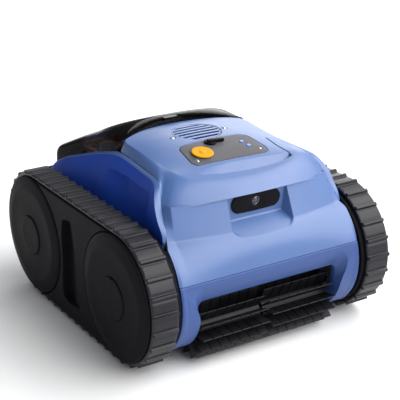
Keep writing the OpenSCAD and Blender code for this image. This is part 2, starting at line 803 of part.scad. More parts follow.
module screw_head(r, h) {
    difference() {
        translate([0, 0, -8]) cylinder(h = 8 + h, r = r, $fn = 32);
        translate([0, 0, h - 1.2]) cylinder(h = 3, r = r * 0.45, $fn = 6);
    }
}

module vent_screws() {
    color("silver") for (s = [-1, 1]) on_deck([s * vent_screw_x, vent_y - 7])
        translate([0, 0, -2]) screw_head(3.8, 1.4);
}

module panel_screws() {
    color("silver") for (s = [-1, 1]) on_deck([s * panel_screw_at[0], panel_screw_at[1]])
        translate([0, 0, -0.4]) screw_head(2.8, 0.6);
}

module control_panel() {
    color("#5d5b5b") difference() {
        on_deck([0, panel_y]) translate([0, 0, -3]) linear_extrude(3.4)
            offset(delta = -0.3) panel_plate_2d();
        on_deck(cap_at) translate([0, 0, -10]) cylinder(h = 20, r = 14.3, $fn = 64);
        for (p = lamp_at) on_deck(p) translate([-3.4, -2.9, -10]) cube([6.8, 5.8, 20]);
        for (s = [-1, 1]) on_deck([s * panel_screw_at[0], panel_screw_at[1]])
            translate([0, 0, -10]) cylinder(h = 20, r = 3, $fn = 32);
    }
}

module charge_socket() {
    color("#202024") on_deck(cap_at) difference() {
        translate([0, 0, -24]) cylinder(h = 23.5, r = 14, $fn = 64);
        translate([0, 0, -12]) cylinder(h = 20, r = 12.5, $fn = 64);
    }
}

module charge_cap() {
    color("#f5c30a") on_deck(cap_at) {
        translate([0, 0, 1]) cylinder(h = 3, r = 16.5, $fn = 64);
        translate([0, 0, 4 - eps]) cylinder(h = 1.6, r = 4, $fn = 48);
        translate([0, 0, -8]) cylinder(h = 9.5, r = 12, $fn = 64);
    }
}

module power_switch() {
    color("#0e0e10") on_deck(switch_at) {
        translate([0, 0, 1.8]) cylinder(h = 4.4, r = 9.5, $fn = 48);
        translate([0, -4.5, 1.8]) cube([23, 9, 7.4]);
    }
}

module indicator_lights() {
    color("#5f7fe0") for (p = lamp_at) on_deck(p) translate([-3.1, -2.6, -6]) cube([6.2, 5.2, 6.6]);
}

module camera_window() {
    reach = (camera_w - camera_h) / 2;
    color("#101014") translate([0, camera_y + 0.4, camera_z]) {
        for (s = [-1, 1]) translate([s * reach, 0, 0]) rotate([-90, 0, 0])
            cylinder(h = wall - 0.4, d = camera_h, $fn = 64);
        translate([-reach, 0, -camera_h / 2]) cube([2 * reach, wall - 0.4, camera_h]);
    }
}

module camera_lens() {
    color("#30303a") translate([0, camera_y + wall, camera_z]) rotate([-90, 0, 0]) {
        cylinder(h = 14, r = 8, $fn = 48);
        translate([-11, -11, 14 - eps]) cube([22, 22, 3]);
    }
}

// ---- sealed motor box and pump ----

box_y0 = -58;
box_y1 = 46;
box_x = 66;

module motor_box() {
    color("#3a3d45") difference() {
        translate([-box_x, box_y0, 25]) cube([2 * box_x, box_y1 - box_y0, 145]);
        translate([-box_x + wall, box_y0 + wall, 25 + wall])
            cube([2 * (box_x - wall), box_y1 - box_y0 - 2 * wall, 200]);
    }
}

module motor_box_seal() {
    color("#15151a") difference() {
        translate([-box_x, box_y0, 170]) cube([2 * box_x, box_y1 - box_y0, 1.5]);
        translate([-box_x + wall, box_y0 + wall, 160])
            cube([2 * (box_x - wall), box_y1 - box_y0 - 2 * wall, 20]);
    }
}

module motor_box_cover() {
    color("#3a3d45") difference() {
        translate([-box_x, box_y0, 171.5]) cube([2 * box_x, box_y1 - box_y0, 5]);
        translate([0, pump_y, 165]) cylinder(h = 20, r = 5, $fn = 48);
    }
}

module battery_pack() {
    cell_r = 10.8;
    color("#3f8f5a") for (i = [-2 : 2], j = [0 : 1])
        translate([i * 23, box_y0 + 16 + j * 23, 30]) cylinder(h = 70, r = cell_r, $fn = 48);
}

module circuit_board() {
    color("#1f6b3a") {
        translate([-54, box_y1 - 8, 34]) cube([108, 1.6, 120]);
        for (x = [-36, 0, 30], z = [52, 96, 130])
            translate([x, box_y1 - 14, z]) cube([16, 6 + eps, 12]);
    }
}

module pump_motor() {
    color("#9a9da3") {
        translate([0, pump_y, 104]) cylinder(h = 60, r = 21, $fn = 64);
        translate([0, pump_y, 164 - eps]) cylinder(h = 6, r = 9, $fn = 48);
    }
}

module impeller() {
    blades = 5;
    color("#d8d8d2") {
        translate([0, pump_y, 170.3]) cylinder(h = 46, r = 4, $fn = 48);
        translate([0, pump_y, 208]) cylinder(h = 20, r = 9, $fn = 48);
        for (i = [0 : blades - 1]) translate([0, pump_y, 218]) rotate([0, 0, i * 360 / blades])
            rotate([35, 0, 0]) translate([4, -1.2, -10]) cube([25, 2.4, 20]);
    }
}

module pump_housing() {
    inner_r = 31;
    color("#4a4d57") {
        difference() {
            translate([0, pump_y, 176.5]) cylinder(h = 80, r = inner_r + 3, $fn = fine);
            translate([0, pump_y, 179.5]) cylinder(h = 90, r = inner_r, $fn = fine);
            translate([0, pump_y, 170]) cylinder(h = 20, r = 6, $fn = 48);
            translate([-24, pump_y, 184]) cube([48, 60, 26]);
        }
    }
}

base_tub();
bottom_plate();
front_frame();
nose_shell();
top_hood();
side_fairing(-1);  // side_fairing_left
side_fairing(1);  // side_fairing_right
rear_shell();
filter_bay();
motor_box();
motor_box_cover();
motor_box_seal();
battery_pack();
circuit_board();
pump_motor();
pump_housing();
vent_grille();
vent_screws();
control_panel();
charge_socket();
indicator_lights();
panel_screws();
camera_window();
camera_lens();
drive_motor(-1);  // drive_motor_left
drive_motor(1);  // drive_motor_right
side_panel(-1);  // side_panel_left
side_panel(1);  // side_panel_right
wheel_axles();
axle_bushes();
roller_axle();
lid_hinge_pin();
track(-1);  // track_left
track(1);  // track_right
basket_frame();
basket_mesh();
front_wheel(-1);  // front_wheel_left
front_wheel(1);  // front_wheel_right
drive_gear(-1);  // drive_gear_left
drive_gear(1);  // drive_gear_right
rear_wheel(-1);  // rear_wheel_left
rear_wheel(1);  // rear_wheel_right
hub_cap(-wheel_y, -1);  // front_hub_cap_left
hub_cap(-wheel_y, 1);  // front_hub_cap_right
hub_cap(wheel_y, -1);  // rear_hub_cap_left
hub_cap(wheel_y, 1);  // rear_hub_cap_right
motor_pinion(-1);  // motor_pinion_left
motor_pinion(1);  // motor_pinion_right
roller_core(-1);  // roller_core_left
roller_core(1);  // roller_core_right
roller_flaps(-1);  // roller_flaps_left
roller_flaps(1);  // roller_flaps_right
roller_gear(-1);  // roller_gear_left
roller_gear(1);  // roller_gear_right
impeller();
lid();
lid_latch();
inlet_flap();
charge_cap();
power_switch();
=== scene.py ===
import json
import math

import bmesh
import bpy
import numpy as np
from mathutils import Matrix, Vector

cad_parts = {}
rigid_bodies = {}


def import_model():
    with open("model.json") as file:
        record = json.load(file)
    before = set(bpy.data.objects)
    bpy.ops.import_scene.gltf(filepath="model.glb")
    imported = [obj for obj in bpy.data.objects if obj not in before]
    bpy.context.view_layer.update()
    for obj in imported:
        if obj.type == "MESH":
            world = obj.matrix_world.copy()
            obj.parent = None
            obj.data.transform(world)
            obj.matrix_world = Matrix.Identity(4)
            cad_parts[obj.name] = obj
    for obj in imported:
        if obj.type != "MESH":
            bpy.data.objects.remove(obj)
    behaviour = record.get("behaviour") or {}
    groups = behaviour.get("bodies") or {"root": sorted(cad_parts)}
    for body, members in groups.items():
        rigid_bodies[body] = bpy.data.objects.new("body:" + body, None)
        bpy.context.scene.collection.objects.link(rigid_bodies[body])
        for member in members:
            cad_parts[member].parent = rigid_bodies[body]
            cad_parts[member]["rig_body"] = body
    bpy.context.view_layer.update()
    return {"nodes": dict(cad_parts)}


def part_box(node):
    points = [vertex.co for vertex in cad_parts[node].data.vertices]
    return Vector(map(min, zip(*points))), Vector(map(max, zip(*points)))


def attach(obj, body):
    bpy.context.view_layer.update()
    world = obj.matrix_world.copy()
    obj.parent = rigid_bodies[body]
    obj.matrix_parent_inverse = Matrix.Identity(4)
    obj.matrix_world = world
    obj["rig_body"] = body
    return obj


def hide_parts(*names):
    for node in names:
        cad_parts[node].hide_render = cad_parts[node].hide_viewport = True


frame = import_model()
bpy.context.scene.view_settings.view_transform = "Standard"
mm = 0.001
print("frame loaded:", len(frame["nodes"]), "nodes")


# small tools: everything below is worked out in millimetres

def middle(node):
    # the centre of a CAD part's box
    low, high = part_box(node)
    return np.array((low + high) / 2) / mm


def corner(node, which):
    # the low (0) or high (1) corner of a CAD part's box
    return np.array(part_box(node)[which]) / mm


def ease(t):
    # smooth step: three t squared minus two t cubed, held flat outside 0 to 1
    t = np.clip(t, 0, 1)
    return t * t * (3 - 2 * t)


def softMin(a, b, r):
    # the smaller of two fields, with the corner between them rounded over r
    h = np.clip(0.5 + 0.5 * (b - a) / r, 0, 1)
    return b * (1 - h) + a * h - r * h * (1 - h)


def gridQuads(rows, cols, closeRows=False, closeCols=False):
    # a rows x cols grid of points as quads; a closed direction joins its last line to its first
    i, j = np.meshgrid(np.arange(rows if closeRows else rows - 1),
                       np.arange(cols if closeCols else cols - 1), indexing="ij")
    i2, j2 = (i + 1) % rows, (j + 1) % cols
    quads = np.stack([i * cols + j, i * cols + j2, i2 * cols + j2, i2 * cols + j], -1)
    return quads.reshape(-1, 4)


def sheetPart(points, closeRows=False, closeCols=False, capRows=False, capCols=False):
    # points is rows x cols x 3; the caps close the first and last row or column with one face each
    rows, cols = points.shape[:2]
    faces = gridQuads(rows, cols, closeRows, closeCols).tolist()
    if capRows:
        faces += [list(range(cols)), list(range((rows - 1) * cols, rows * cols))]
    if capCols:
        faces += [[r * cols for r in range(rows)], [r * cols + cols - 1 for r in range(rows)]]
    return points.reshape(-1, 3), faces


def prism(outline, low, high, axis=0):
    # a flat outline carried straight along one axis, closed at both ends
    flat = np.asarray(outline, float)
    rings = np.stack([np.insert(flat, axis, level, axis=1) for level in (low, high)])
    return sheetPart(rings, closeCols=True, capRows=True)


def turned(profile, centre, axis="x", count=128, closed=True):
    # a profile of (place along the axis, radius) carried round the axis through centre
    p = np.asarray(profile, float)
    a = np.linspace(0, 2 * np.pi, count, endpoint=False)
    along = np.repeat(p[:, :1], count, 1)
    u, v = p[:, 1:] * np.cos(a), p[:, 1:] * np.sin(a)
    order = {"x": (along, u, v), "y": (v, along, u), "z": (u, v, along)}[axis]
    return sheetPart(np.stack(order, -1) + np.asarray(centre, float), closeRows=closed,
                     closeCols=True)


def roundedOutline(corners, radius, steps=6):
    # each corner of a closed outline becomes a quadratic curve that starts radius before it
    c = np.asarray(corners, float)
    before, after = np.roll(c, 1, 0) - c, np.roll(c, -1, 0) - c
    radius = np.broadcast_to(radius, len(c))
    a = c + before / np.linalg.norm(before, axis=1)[:, None] * radius[:, None]
    b = c + after / np.linalg.norm(after, axis=1)[:, None] * radius[:, None]
    t = np.linspace(0, 1, steps)[None, :, None]
    curve = (1 - t) ** 2 * a[:, None] + 2 * t * (1 - t) * c[:, None] + t * t * b[:, None]
    return curve.reshape(-1, 2)


def spline(table, count, closed=False):
    # a smooth curve through the rows of a table, count samples in all (Catmull-Rom)
    p = np.asarray(table, float)
    n = len(p)
    if closed:
        p = np.vstack([p[-1:], p, p[:2]])
        u = np.linspace(0, n, count, endpoint=False)
    else:
        p = np.vstack([2 * p[:1] - p[1:2], p, 2 * p[-1:] - p[-2:-1]])
        u = np.linspace(0, n - 1, count)
    k = np.minimum(u.astype(int), (n if closed else n - 1) - 1)
    t = (u - k)[:, None]
    a, b, c, d = p[k], p[k + 1], p[k + 2], p[k + 3]
    return 0.5 * (2 * b + (c - a) * t + (2 * a - 5 * b + 4 * c - d) * t ** 2
                  + (3 * b - a - 3 * c + d) * t ** 3)


def insideOf(x, y, outline):
    # signed distance to a closed outline, positive inside, for whole arrays of points
    o = np.asarray(outline, float)
    best = np.full(np.shape(x), 1e9)
    odd = np.zeros(np.shape(x), bool)
    for a, b in zip(o, np.roll(o, -1, 0)):
        ex, ey = b - a
        t = np.clip(((x - a[0]) * ex + (y - a[1]) * ey) / (ex * ex + ey * ey + 1e-12), 0, 1)
        best = np.minimum(best, np.hypot(x - a[0] - t * ex, y - a[1] - t * ey))
        crosses = (a[1] > y) != (b[1] > y)
        odd ^= crosses & (x < a[0] + ex * (y - a[1]) / (ey if abs(ey) > 1e-9 else 1e-9))
    return np.where(odd, best, -best)


def addPiece(name, parts, material, body, stands=(), angle=35, bevel=0):
    # joins parts into one mesh in metres, faces outwards, and hangs it on its body
    points, faces, base = [], [], 0
    for p, f in parts:
        points.append(np.asarray(p, float))
        faces += [[v + base for v in face] for face in f]
        base += len(p)
    mesh = bpy.data.meshes.new(name)
    mesh.from_pydata((np.vstack(points) * mm).tolist(), [], faces)
    return finishMesh(name, mesh, material, body, stands, angle, bevel)


def finishMesh(name, mesh, material, body, stands, angle, bevel):
    # merges doubles, turns faces outwards, shades smooth up to an angle and rounds the edges
    b = bmesh.new()
    b.from_mesh(mesh)
    bmesh.ops.remove_doubles(b, verts=b.verts, dist=2e-6)
    bmesh.ops.recalc_face_normals(b, faces=b.faces)
    b.to_mesh(mesh)
    b.free()
    mesh.shade_smooth()
    mesh.set_sharp_from_angle(angle=math.radians(angle))
    piece = bpy.data.objects.new(name, mesh)
    bpy.context.scene.collection.objects.link(piece)
    mesh.materials.append(material)
    if bevel:
        m = piece.modifiers.new("edges", "BEVEL")
        m.width, m.segments = bevel * mm, 2
        m.limit_method, m.angle_limit = "ANGLE", math.radians(38)
        m.harden_normals = True
    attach(piece, body)
    if stands:
        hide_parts(*stands)
    return piece


def finishedCopy(node, material, bevel=0.4, angle=30):
    # the CAD node's own shape with merged corners, flat faces joined up and softened edges
    source = frame["nodes"][node]
    mesh = source.data.copy()
    mesh.name = node + "_body"
    mesh.materials.clear()
    b = bmesh.new()
    b.from_mesh(mesh)
    bmesh.ops.remove_doubles(b, verts=b.verts, dist=1e-5)
    bmesh.ops.dissolve_limit(b, angle_limit=math.radians(0.6), verts=b.verts, edges=b.edges)
    b.to_mesh(mesh)
    b.free()
    return finishMesh(node + "_body", mesh, material, source["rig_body"], (node,), angle,
                      bevel)


# materials: one function for each kind of finish

def newMaterial(name):
    # a principled material, and the object coordinates every pattern is laid on
    m = bpy.data.materials.new(name)
    m.use_nodes = True
    tree = m.node_tree
    shader = tree.nodes["Principled BSDF"]
    where = tree.nodes.new("ShaderNodeTexCoord")
    return m, tree, shader, where.outputs["Object"]


def noiseOn(tree, where, scale, detail=3):
    # cloudy noise, scale cells to the metre
    n = tree.nodes.new("ShaderNodeTexNoise")
    n.inputs["Scale"].default_value = scale
    n.inputs["Detail"].default_value = detail
    tree.links.new(where, n.inputs["Vector"])
    return n.outputs["Fac"]


def ramp(tree, source, low, high, start=0.35, end=0.65):
    # blends two colours as the source goes from start to end
    r = tree.nodes.new("ShaderNodeValToRGB")
    r.color_ramp.elements[0].position, r.color_ramp.elements[1].position = start, end
    r.color_ramp.elements[0].color, r.color_ramp.elements[1].color = (*low, 1), (*high, 1)
    tree.links.new(source, r.inputs["Fac"])
    return r.outputs["Color"]


def spread(tree, source, low, high):
    # stretches a value of 0 to 1 over low to high
    r = tree.nodes.new("ShaderNodeMapRange")
    r.inputs["To Min"].default_value, r.inputs["To Max"].default_value = low, high
    tree.links.new(source, r.inputs["Value"])
    return r.outputs["Result"]


def bumped(tree, shader, height, strength, distance):
    # a height pattern as fine relief, distance in metres
    b = tree.nodes.new("ShaderNodeBump")
    b.inputs["Strength"].default_value, b.inputs["Distance"].default_value = strength, distance
    tree.links.new(height, b.inputs["Height"])
    tree.links.new(b.outputs["Normal"], shader.inputs["Normal"])


def moulded(name, colour, rough=0.4, grain=1500, depth=0.3, shift=0.06, shine=0.5):
    # moulded plastic: spark-eroded grain in the bump, faint blotches in colour and gloss
    m, tree, shader, where = newMaterial(name)
    blotch = noiseOn(tree, where, 14, 4)
    colour = np.array(colour)
    tint = ramp(tree, blotch, colour * (1 - shift), np.minimum(colour * (1 + shift), 1))
    tree.links.new(tint, shader.inputs["Base Color"])
    tree.links.new(spread(tree, noiseOn(tree, where, 60, 3), rough - 0.05, rough + 0.05),
                   shader.inputs["Roughness"])
    bumped(tree, shader, noiseOn(tree, where, grain, 2), depth, 0.0001)
    shader.inputs["Specular IOR Level"].default_value = shine
    return m


def rubbery(name, colour, rough=0.5, shine=0.5):
    # rubber: dusty patches in colour and roughness, and a soft grain in the bump
    m, tree, shader, where = newMaterial(name)
    dust = noiseOn(tree, where, 30, 5)
    colour = np.array(colour)
    tree.links.new(ramp(tree, dust, colour * 0.8, colour * 1.35), shader.inputs["Base Color"])
    tree.links.new(spread(tree, dust, rough - 0.08, rough + 0.1), shader.inputs["Roughness"])
    bumped(tree, shader, noiseOn(tree, where, 900, 3), 0.35, 0.00012)
    shader.inputs["Specular IOR Level"].default_value = shine
    return m


def metallic(name, colour, rough=0.3):
    # turned metal: fine scratches laid by a noise in colour, roughness and bump
    m, tree, shader, where = newMaterial(name)
    shader.inputs["Metallic"].default_value = 1.0
    colour = np.array(colour)
    scratch = noiseOn(tree, where, 400, 6)
    tree.links.new(ramp(tree, scratch, colour * 0.85, colour), shader.inputs["Base Color"])
    tree.links.new(spread(tree, scratch, rough - 0.08, rough + 0.12), shader.inputs["Roughness"])
    bumped(tree, shader, scratch, 0.1, 0.00005)
    return m


def smoked(name, clear, dark, rough=0.04):
    # tinted see-through plastic: clear on the front left flank, and black towards the top, the rear
    # and the right; the darkest of three smooth steps along the axes wins
    m, tree, shader, where = newMaterial(name)
    split = tree.nodes.new("ShaderNodeSeparateXYZ")
    tree.links.new(where, split.inputs["Vector"])
    borders = []
    for axis, low, high in (("Y", 0.112, 0.135), ("X", 0.040, 0.075), ("Z", 0.267, 0.278)):
        step = tree.nodes.new("ShaderNodeMapRange")
        step.interpolation_type = "SMOOTHSTEP"
        step.inputs["From Min"].default_value, step.inputs["From Max"].default_value = low, high
        tree.links.new(split.outputs[axis], step.inputs["Value"])
        borders.append(step.outputs["Result"])
    total = borders[0]
    for border in borders[1:]:
        most = tree.nodes.new("ShaderNodeMath")
        most.operation = "MAXIMUM"
        tree.links.new(total, most.inputs[0])
        tree.links.new(border, most.inputs[1])
        total = most.outputs[0]
    tree.links.new(ramp(tree, total, clear, dark, 0, 1), shader.inputs["Base Color"])
    shader.inputs["Transmission Weight"].default_value = 1.0
    shader.inputs["IOR"].default_value = 1.1
    tree.links.new(spread(tree, noiseOn(tree, where, 25, 3), rough, rough + 0.05),
                   shader.inputs["Roughness"])
    bumped(tree, shader, noiseOn(tree, where, 9, 2), 0.05, 0.002)
    return m


bodyBlue = moulded("bodyBlue", (0.050, 0.118, 0.315), rough=0.42, depth=0.2, shift=0.03,
                   shine=0.8)
# a deeper blue for the frame mouldings, made darker still as painted shade for the downward-facing bevel of
# the front arch
frameBlueWithShade = moulded("frameBlueWithShade", (0.032, 0.074, 0.235), rough=0.45, depth=0.2, shift=0.03,
                    shine=0.4)
# painted shade: a darker, more saturated copy of the body blue for the fairing faces that look sideways,
# standing in for the shade on that side
fairingShadeBlue = moulded("fairingShadeBlue", (0.012, 0.060, 0.42), rough=0.5, depth=0.3, shift=0.05,
                      shine=0.1)
tubBlue = moulded("tubBlue", (0.02, 0.04, 0.14), rough=0.5)
blackPlastic = moulded("blackPlastic", (0.009, 0.009, 0.011), rough=0.5, grain=1100, depth=0.5,
                       shine=0.03)
glossBlack = moulded("glossBlack", (0.005, 0.005, 0.007), rough=0.22, grain=300, depth=0.05,
                     shine=0.06)
trackRubber = rubbery("trackRubber", (0.009, 0.009, 0.013), rough=0.36, shine=0.3)
flapRubber = rubbery("flapRubber", (0.007, 0.007, 0.009), rough=0.45, shine=0.25)
sealRubber = rubbery("sealRubber", (0.02, 0.02, 0.022), rough=0.6, shine=0.3)
plateGrey = moulded("plateGrey", (0.095, 0.093, 0.105), rough=0.55, grain=1800, depth=0.5, shift=0.08,
                    shine=0.2)
capYellow = moulded("capYellow", (0.60, 0.30, 0.001), rough=0.5, depth=0.15, shift=0.05,
                    shine=0.08)
basketOrange = moulded("basketOrange", (0.86, 0.17, 0.02), rough=0.4, depth=0.2)
naturalNylon = moulded("naturalNylon", (0.60, 0.57, 0.50), rough=0.45)
lampBlue = moulded("lampBlue", (0.12, 0.23, 0.70), rough=0.2, depth=0.05, shine=0.5)
cellWrap = moulded("cellWrap", (0.03, 0.22, 0.10), rough=0.3, depth=0.1)
boardGreen = moulded("boardGreen", (0.01, 0.12, 0.05), rough=0.35, grain=250, depth=0.6)
steel = metallic("steel", (0.75, 0.75, 0.77), rough=0.16)
brass = metallic("brass", (0.62, 0.46, 0.20), rough=0.3)
smokedLid = smoked("smokedLid", (0.50, 0.46, 0.54), (0.015, 0.015, 0.022))
lensGlass = moulded("lensGlass", (0.012, 0.014, 0.03), rough=0.07, grain=50, depth=0.02, shine=1.0)
print("materials made")


# where things are, taken from the frame

sides = {"left": -1, "right": 1}
axleZ = middle("rear_wheel_left")[2]
frontY = middle("front_wheel_left")[1]
rearY = middle("rear_wheel_left")[1]
hubFace = corner("front_hub_cap_right", 1)[0]
ventAt = middle("vent_grille")


# tracks: a belt section carried round both wheels, its outer side raised into lugs

track = {"innerR": 95.0, "cordDrop": 4.0, "lugs": 46, "phase": 18.6, "baseR": 99.1,
         "lugHeight": 4.0, "edgeRound": 1.2, "panelRise": 0.55}


def trackPoint(s, reach):
    # a point at a distance s along the cord and reach outside it: two straights and two half turns
    cord = track["innerR"] - track["cordDrop"]
    base = rearY - frontY
    turn = np.pi * cord
    s = np.mod(s - frontY, 2 * base + 2 * turn)
    a = np.where(s < base, 0, np.where(s < base + turn, (s - base) / cord,
        np.where(s < 2 * base + turn, np.pi, np.pi + (s - 2 * base - turn) / cord)))
    hub = np.where(s < base, frontY + s, np.where(s < base + turn, rearY,
        np.where(s < 2 * base + turn, rearY - (s - base - turn), frontY)))
    r = cord + reach
    return hub + r * np.sin(a), axleZ + r * np.cos(a)


def trackMesh(side):
    # rows run along the belt, columns across it: the outer face is the base plus smooth steps for
    # the lug, the raised land between two lugs and the rounded edge; the inner face is flat
    x1 = corner("track_right", 1)[0]
    x0 = corner("track_right", 0)[0]
    cord = track["innerR"] - track["cordDrop"]
    pitch = (2 * np.pi * cord + 2 * (rearY - frontY)) / track["lugs"]
    local = np.array([-3.5, -3.0, -2.6, -2.2, -1.8, -1.2, 0, 1.2, 1.8, 2.2, 2.6, 3.0, 3.5, 4.7, 5.6,
                      8.5, 12.1, pitch - 8.5, pitch - 5.6, pitch - 4.7])
    s = (track["phase"] + pitch * np.arange(track["lugs"])[:, None] + local).ravel()
    o = np.tile((local + pitch / 2) % pitch - pitch / 2, track["lugs"])
    across = np.array([0, 0.35, 0.9, 1.6, 2.4, 3.4, 4.4, 6, 10, 15])
    width = x1 - x0
    across = np.concatenate([across, [width / 2], width - across[::-1]])
    lug = ease((3.3 - np.abs(o)) / 1.7)[:, None]
    ends = ease((np.minimum(across, width - across) + 0.5) / 2.2)[None, :]
    panel = (ease((np.abs(o) - 4.5) / 1.2)[:, None]
             * ease((np.minimum(across, width - across) - 1.4) / 1.4)[None, :])
    rim = np.minimum(across, width - across)
    edge = -track["edgeRound"] * (1 - ease((rim + 0.3) / 1.4))[None, :]
    base = track["baseR"] - cord
    top = base + edge + track["lugHeight"] * lug * ends + track["panelRise"] * panel
    inner = np.broadcast_to([track["cordDrop"], track["cordDrop"]], (len(s), 2))
    reach = np.concatenate([top, inner], 1)
    xs = np.concatenate([x0 + across, [x1 - 0.4, x0 + 0.4]])
    y, z = trackPoint(s[:, None], reach)
    x = np.broadcast_to(xs, y.shape)
    return np.stack([side * x, y, z], -1)


for label, side in sides.items():
    addPiece("rubber_track_" + label, [sheetPart(trackMesh(side), closeRows=True, closeCols=True)],
             trackRubber, "chassis", ("track_" + label,), angle=50)
print("tracks done")


# wheels and hub caps

wheel = {"rimR": 94.3, "rimT": 5.0, "sleeveR": 17.0, "boreR": 9.06, "innerX": 158.0, "spokes": 6}


def wheelParts(side, y):
    # a profile of rim, dished disc and sleeve turned about the axle, and flat spokes behind the disc
    f = hubFace - 3
    rim, thick = wheel["rimR"], wheel["rimT"]
    sleeveX = corner("rear_wheel_right", 0)[0]
    face = [(f + 1.2, 33.0), (f + 0.9, 42), (f + 0.75, 52), (f + 0.9, 62), (f + 1.25, 70),
            (f + 1.35, 74), (f + 1.2, 76), (f + 0.4, 80), (f - 0.7, 86), (f - 1.6, 90.5),
            (f - 2.3, 92.8), (f - 3.2, 94.0), (f - 4.2, rim), (f - 5.2, rim)]
    profile = [(sleeveX, wheel["boreR"]), (sleeveX, wheel["sleeveR"]), (f - 9, wheel["sleeveR"]),
               (f - 9, rim - thick), (wheel["innerX"], rim - thick), (wheel["innerX"], rim - 1.4),
               (wheel["innerX"] + 0.6, rim - 0.7), (f - 6, rim - 0.6)] + face[::-1]
    profile += [(f - 1.4, 32.7), (f - 1.5, 13), (f - 5.5, 13), (f - 5.5, wheel["boreR"])]
    p = np.array(profile)
    parts = [turned(p * [side, 1], (0, y, axleZ), "x", 192)]
    a = np.arange(wheel["spokes"]) * 2 * np.pi / wheel["spokes"]
    x0, x1 = corner("track_right", 0)[0] + 1, f - 8.7
    for t in a:
        u, v = np.array([np.cos(t), np.sin(t)]), np.array([-np.sin(t), np.cos(t)])
        section = [(wheel["sleeveR"] - 1, -1.5), (rim - thick + 1, -1.5), (rim - thick + 1, 1.5),
                   (wheel["sleeveR"] - 1, 1.5)]
        outline = [[y + r * u[0] + w * v[0], axleZ + r * u[1] + w * v[1]] for r, w in section]
        parts.append(prism(outline, side * x0, side * x1))
    return parts


def hubCap(side, y):
    # a shallow button with a rounded rim, a ring groove and two key notches at its edge
    r = corner("front_hub_cap_left", 1)[2] - axleZ
    f = hubFace
    rings = np.array([0, 8, 16, 24, 29, 30.6, 31.5, 32.0, r, r])
    x = np.array([f - 0.35, f - 0.3, f - 0.15, f, f, f - 0.1, f - 0.45, f - 1.0, f - 2.0, f - 4.4])
    a = np.linspace(0, 2 * np.pi, 192, endpoint=False)
    near = np.minimum(np.abs((a - np.pi / 2 + np.pi) % (2 * np.pi) - np.pi),
                      np.abs((a + np.pi / 2 + np.pi) % (2 * np.pi) - np.pi)) * r
    dip = 2.2 * ease((2.6 - near) / 1.2)
    radius = rings[:, None] - np.where(rings[:, None] > 30, dip[None, :], 0)
    pts = np.stack([np.broadcast_to(side * x[:, None], radius.shape), y + radius * np.cos(a),
                    axleZ + radius * np.sin(a)], -1)
    back = np.array([[[side * (f - 4.4), y, axleZ]] * len(a)])
    return sheetPart(np.concatenate([pts, back]), closeCols=True)


for label, side in sides.items():
    for end, y in (("front", frontY), ("rear", rearY)):
        name = end + "_wheel_" + label
        addPiece(name + "_moulding", wheelParts(side, y), blackPlastic, name,
                 (name,), angle=28)
        cap = end + "_hub_cap_" + label
        addPiece(cap + "_button", [hubCap(side, y)], blackPlastic, name, (cap,))
print("wheels done")


# side panels: a plate between the wheel discs with a slanted pocket

panel = {"face": 209.0, "depth": 12.0, "gap": 1.4, "rows": 190, "cols": 120}
pocketCorners = [(34, 38), (35.5, 60), (31.5, 104), (33.5, 136), (28, 166), (0, 172), (-16, 100),
                 (-30, 50), (-22, 35), (18, 33)]


def sidePanel(side):
    # rows climb from the bottom edge to the top; columns run between the two disc arcs
    reach = wheel["rimR"] + panel["gap"]
    v = np.linspace(0.3, 0.3 + 2 * wheel["rimR"] - 0.6, panel["rows"]) + axleZ - wheel["rimR"]
    arc = np.sqrt(np.maximum(reach ** 2 - (v - axleZ) ** 2, 0))
    u = np.linspace(0, 1, panel["cols"])
    y0, y1 = frontY + arc, rearY - arc
    y = y0[:, None] * (1 - u) + y1[:, None] * u
    z = np.repeat(v[:, None], panel["cols"], 1)
    d = insideOf(y, z, roundedOutline(pocketCorners, 7, 5))
    forward = ease((30 - y) / 52)
    deep = panel["depth"] * ease((d + 0.2) / 2.2) * (1 - 0.82 * forward)
    rimDrop = 0.9 * (1 - ease(np.minimum(np.minimum(y - y0[:, None], y1[:, None] - y),
                                         np.minimum(z - v[0], v[-1] - z)) / 1.4))
    front = panel["face"] - deep - rimDrop
    back = np.minimum(front, panel["face"] - 1) - 3
    a = np.stack([side * front, y, z], -1)
    b = np.stack([side * back, y, z], -1)
    ring = np.concatenate([a, b[:, ::-1]], 1)
    return sheetPart(ring, closeCols=True, capRows=True)


def sidePosts(side):
    # four short round posts from the tub's side to the back of the pocket
    low = corner("base_tub", 1)[0]
    spots = ((-4, 52), (-4, 80), (14, 120), (14, 148))
    end = panel["face"] - panel["depth"] - 3
    profile = np.array([(low, 0), (low, 7), (end, 7), (end, 0)]) * [side, 1]
    return [turned(profile, (0, y, z), "x", 32, closed=False) for y, z in spots]


for label, side in sides.items():
    addPiece("side_plate_" + label, [sidePanel(side)] + sidePosts(side), blackPlastic, "chassis",
             ("side_panel_" + label,), angle=40)
print("side panels done")


# the hood: rings grow from the round outlet over the deck, over its edge and down the visor

deck = {"top": 280.5, "crownY": -15.0, "fall": 806.0, "halfW": 109.0, "edgeZ": 273.1, "edgeSlope": 0.075,
        "samples": 560, "wall": 3.0}


def deckZ(x, y):
    # a parabola along Y, with sides that droop towards a straight edge line
    centre = deck["top"] - (y - deck["crownY"]) ** 2 / deck["fall"]
    droop = centre - (deck["edgeZ"] + deck["edgeSlope"] * (y - 1))
    droop = 0.5 * (droop + np.sqrt(droop ** 2 + 4)) * ease((y + 165) / 60)
    return centre - droop * np.abs(x / deck["halfW"]) ** 2.5


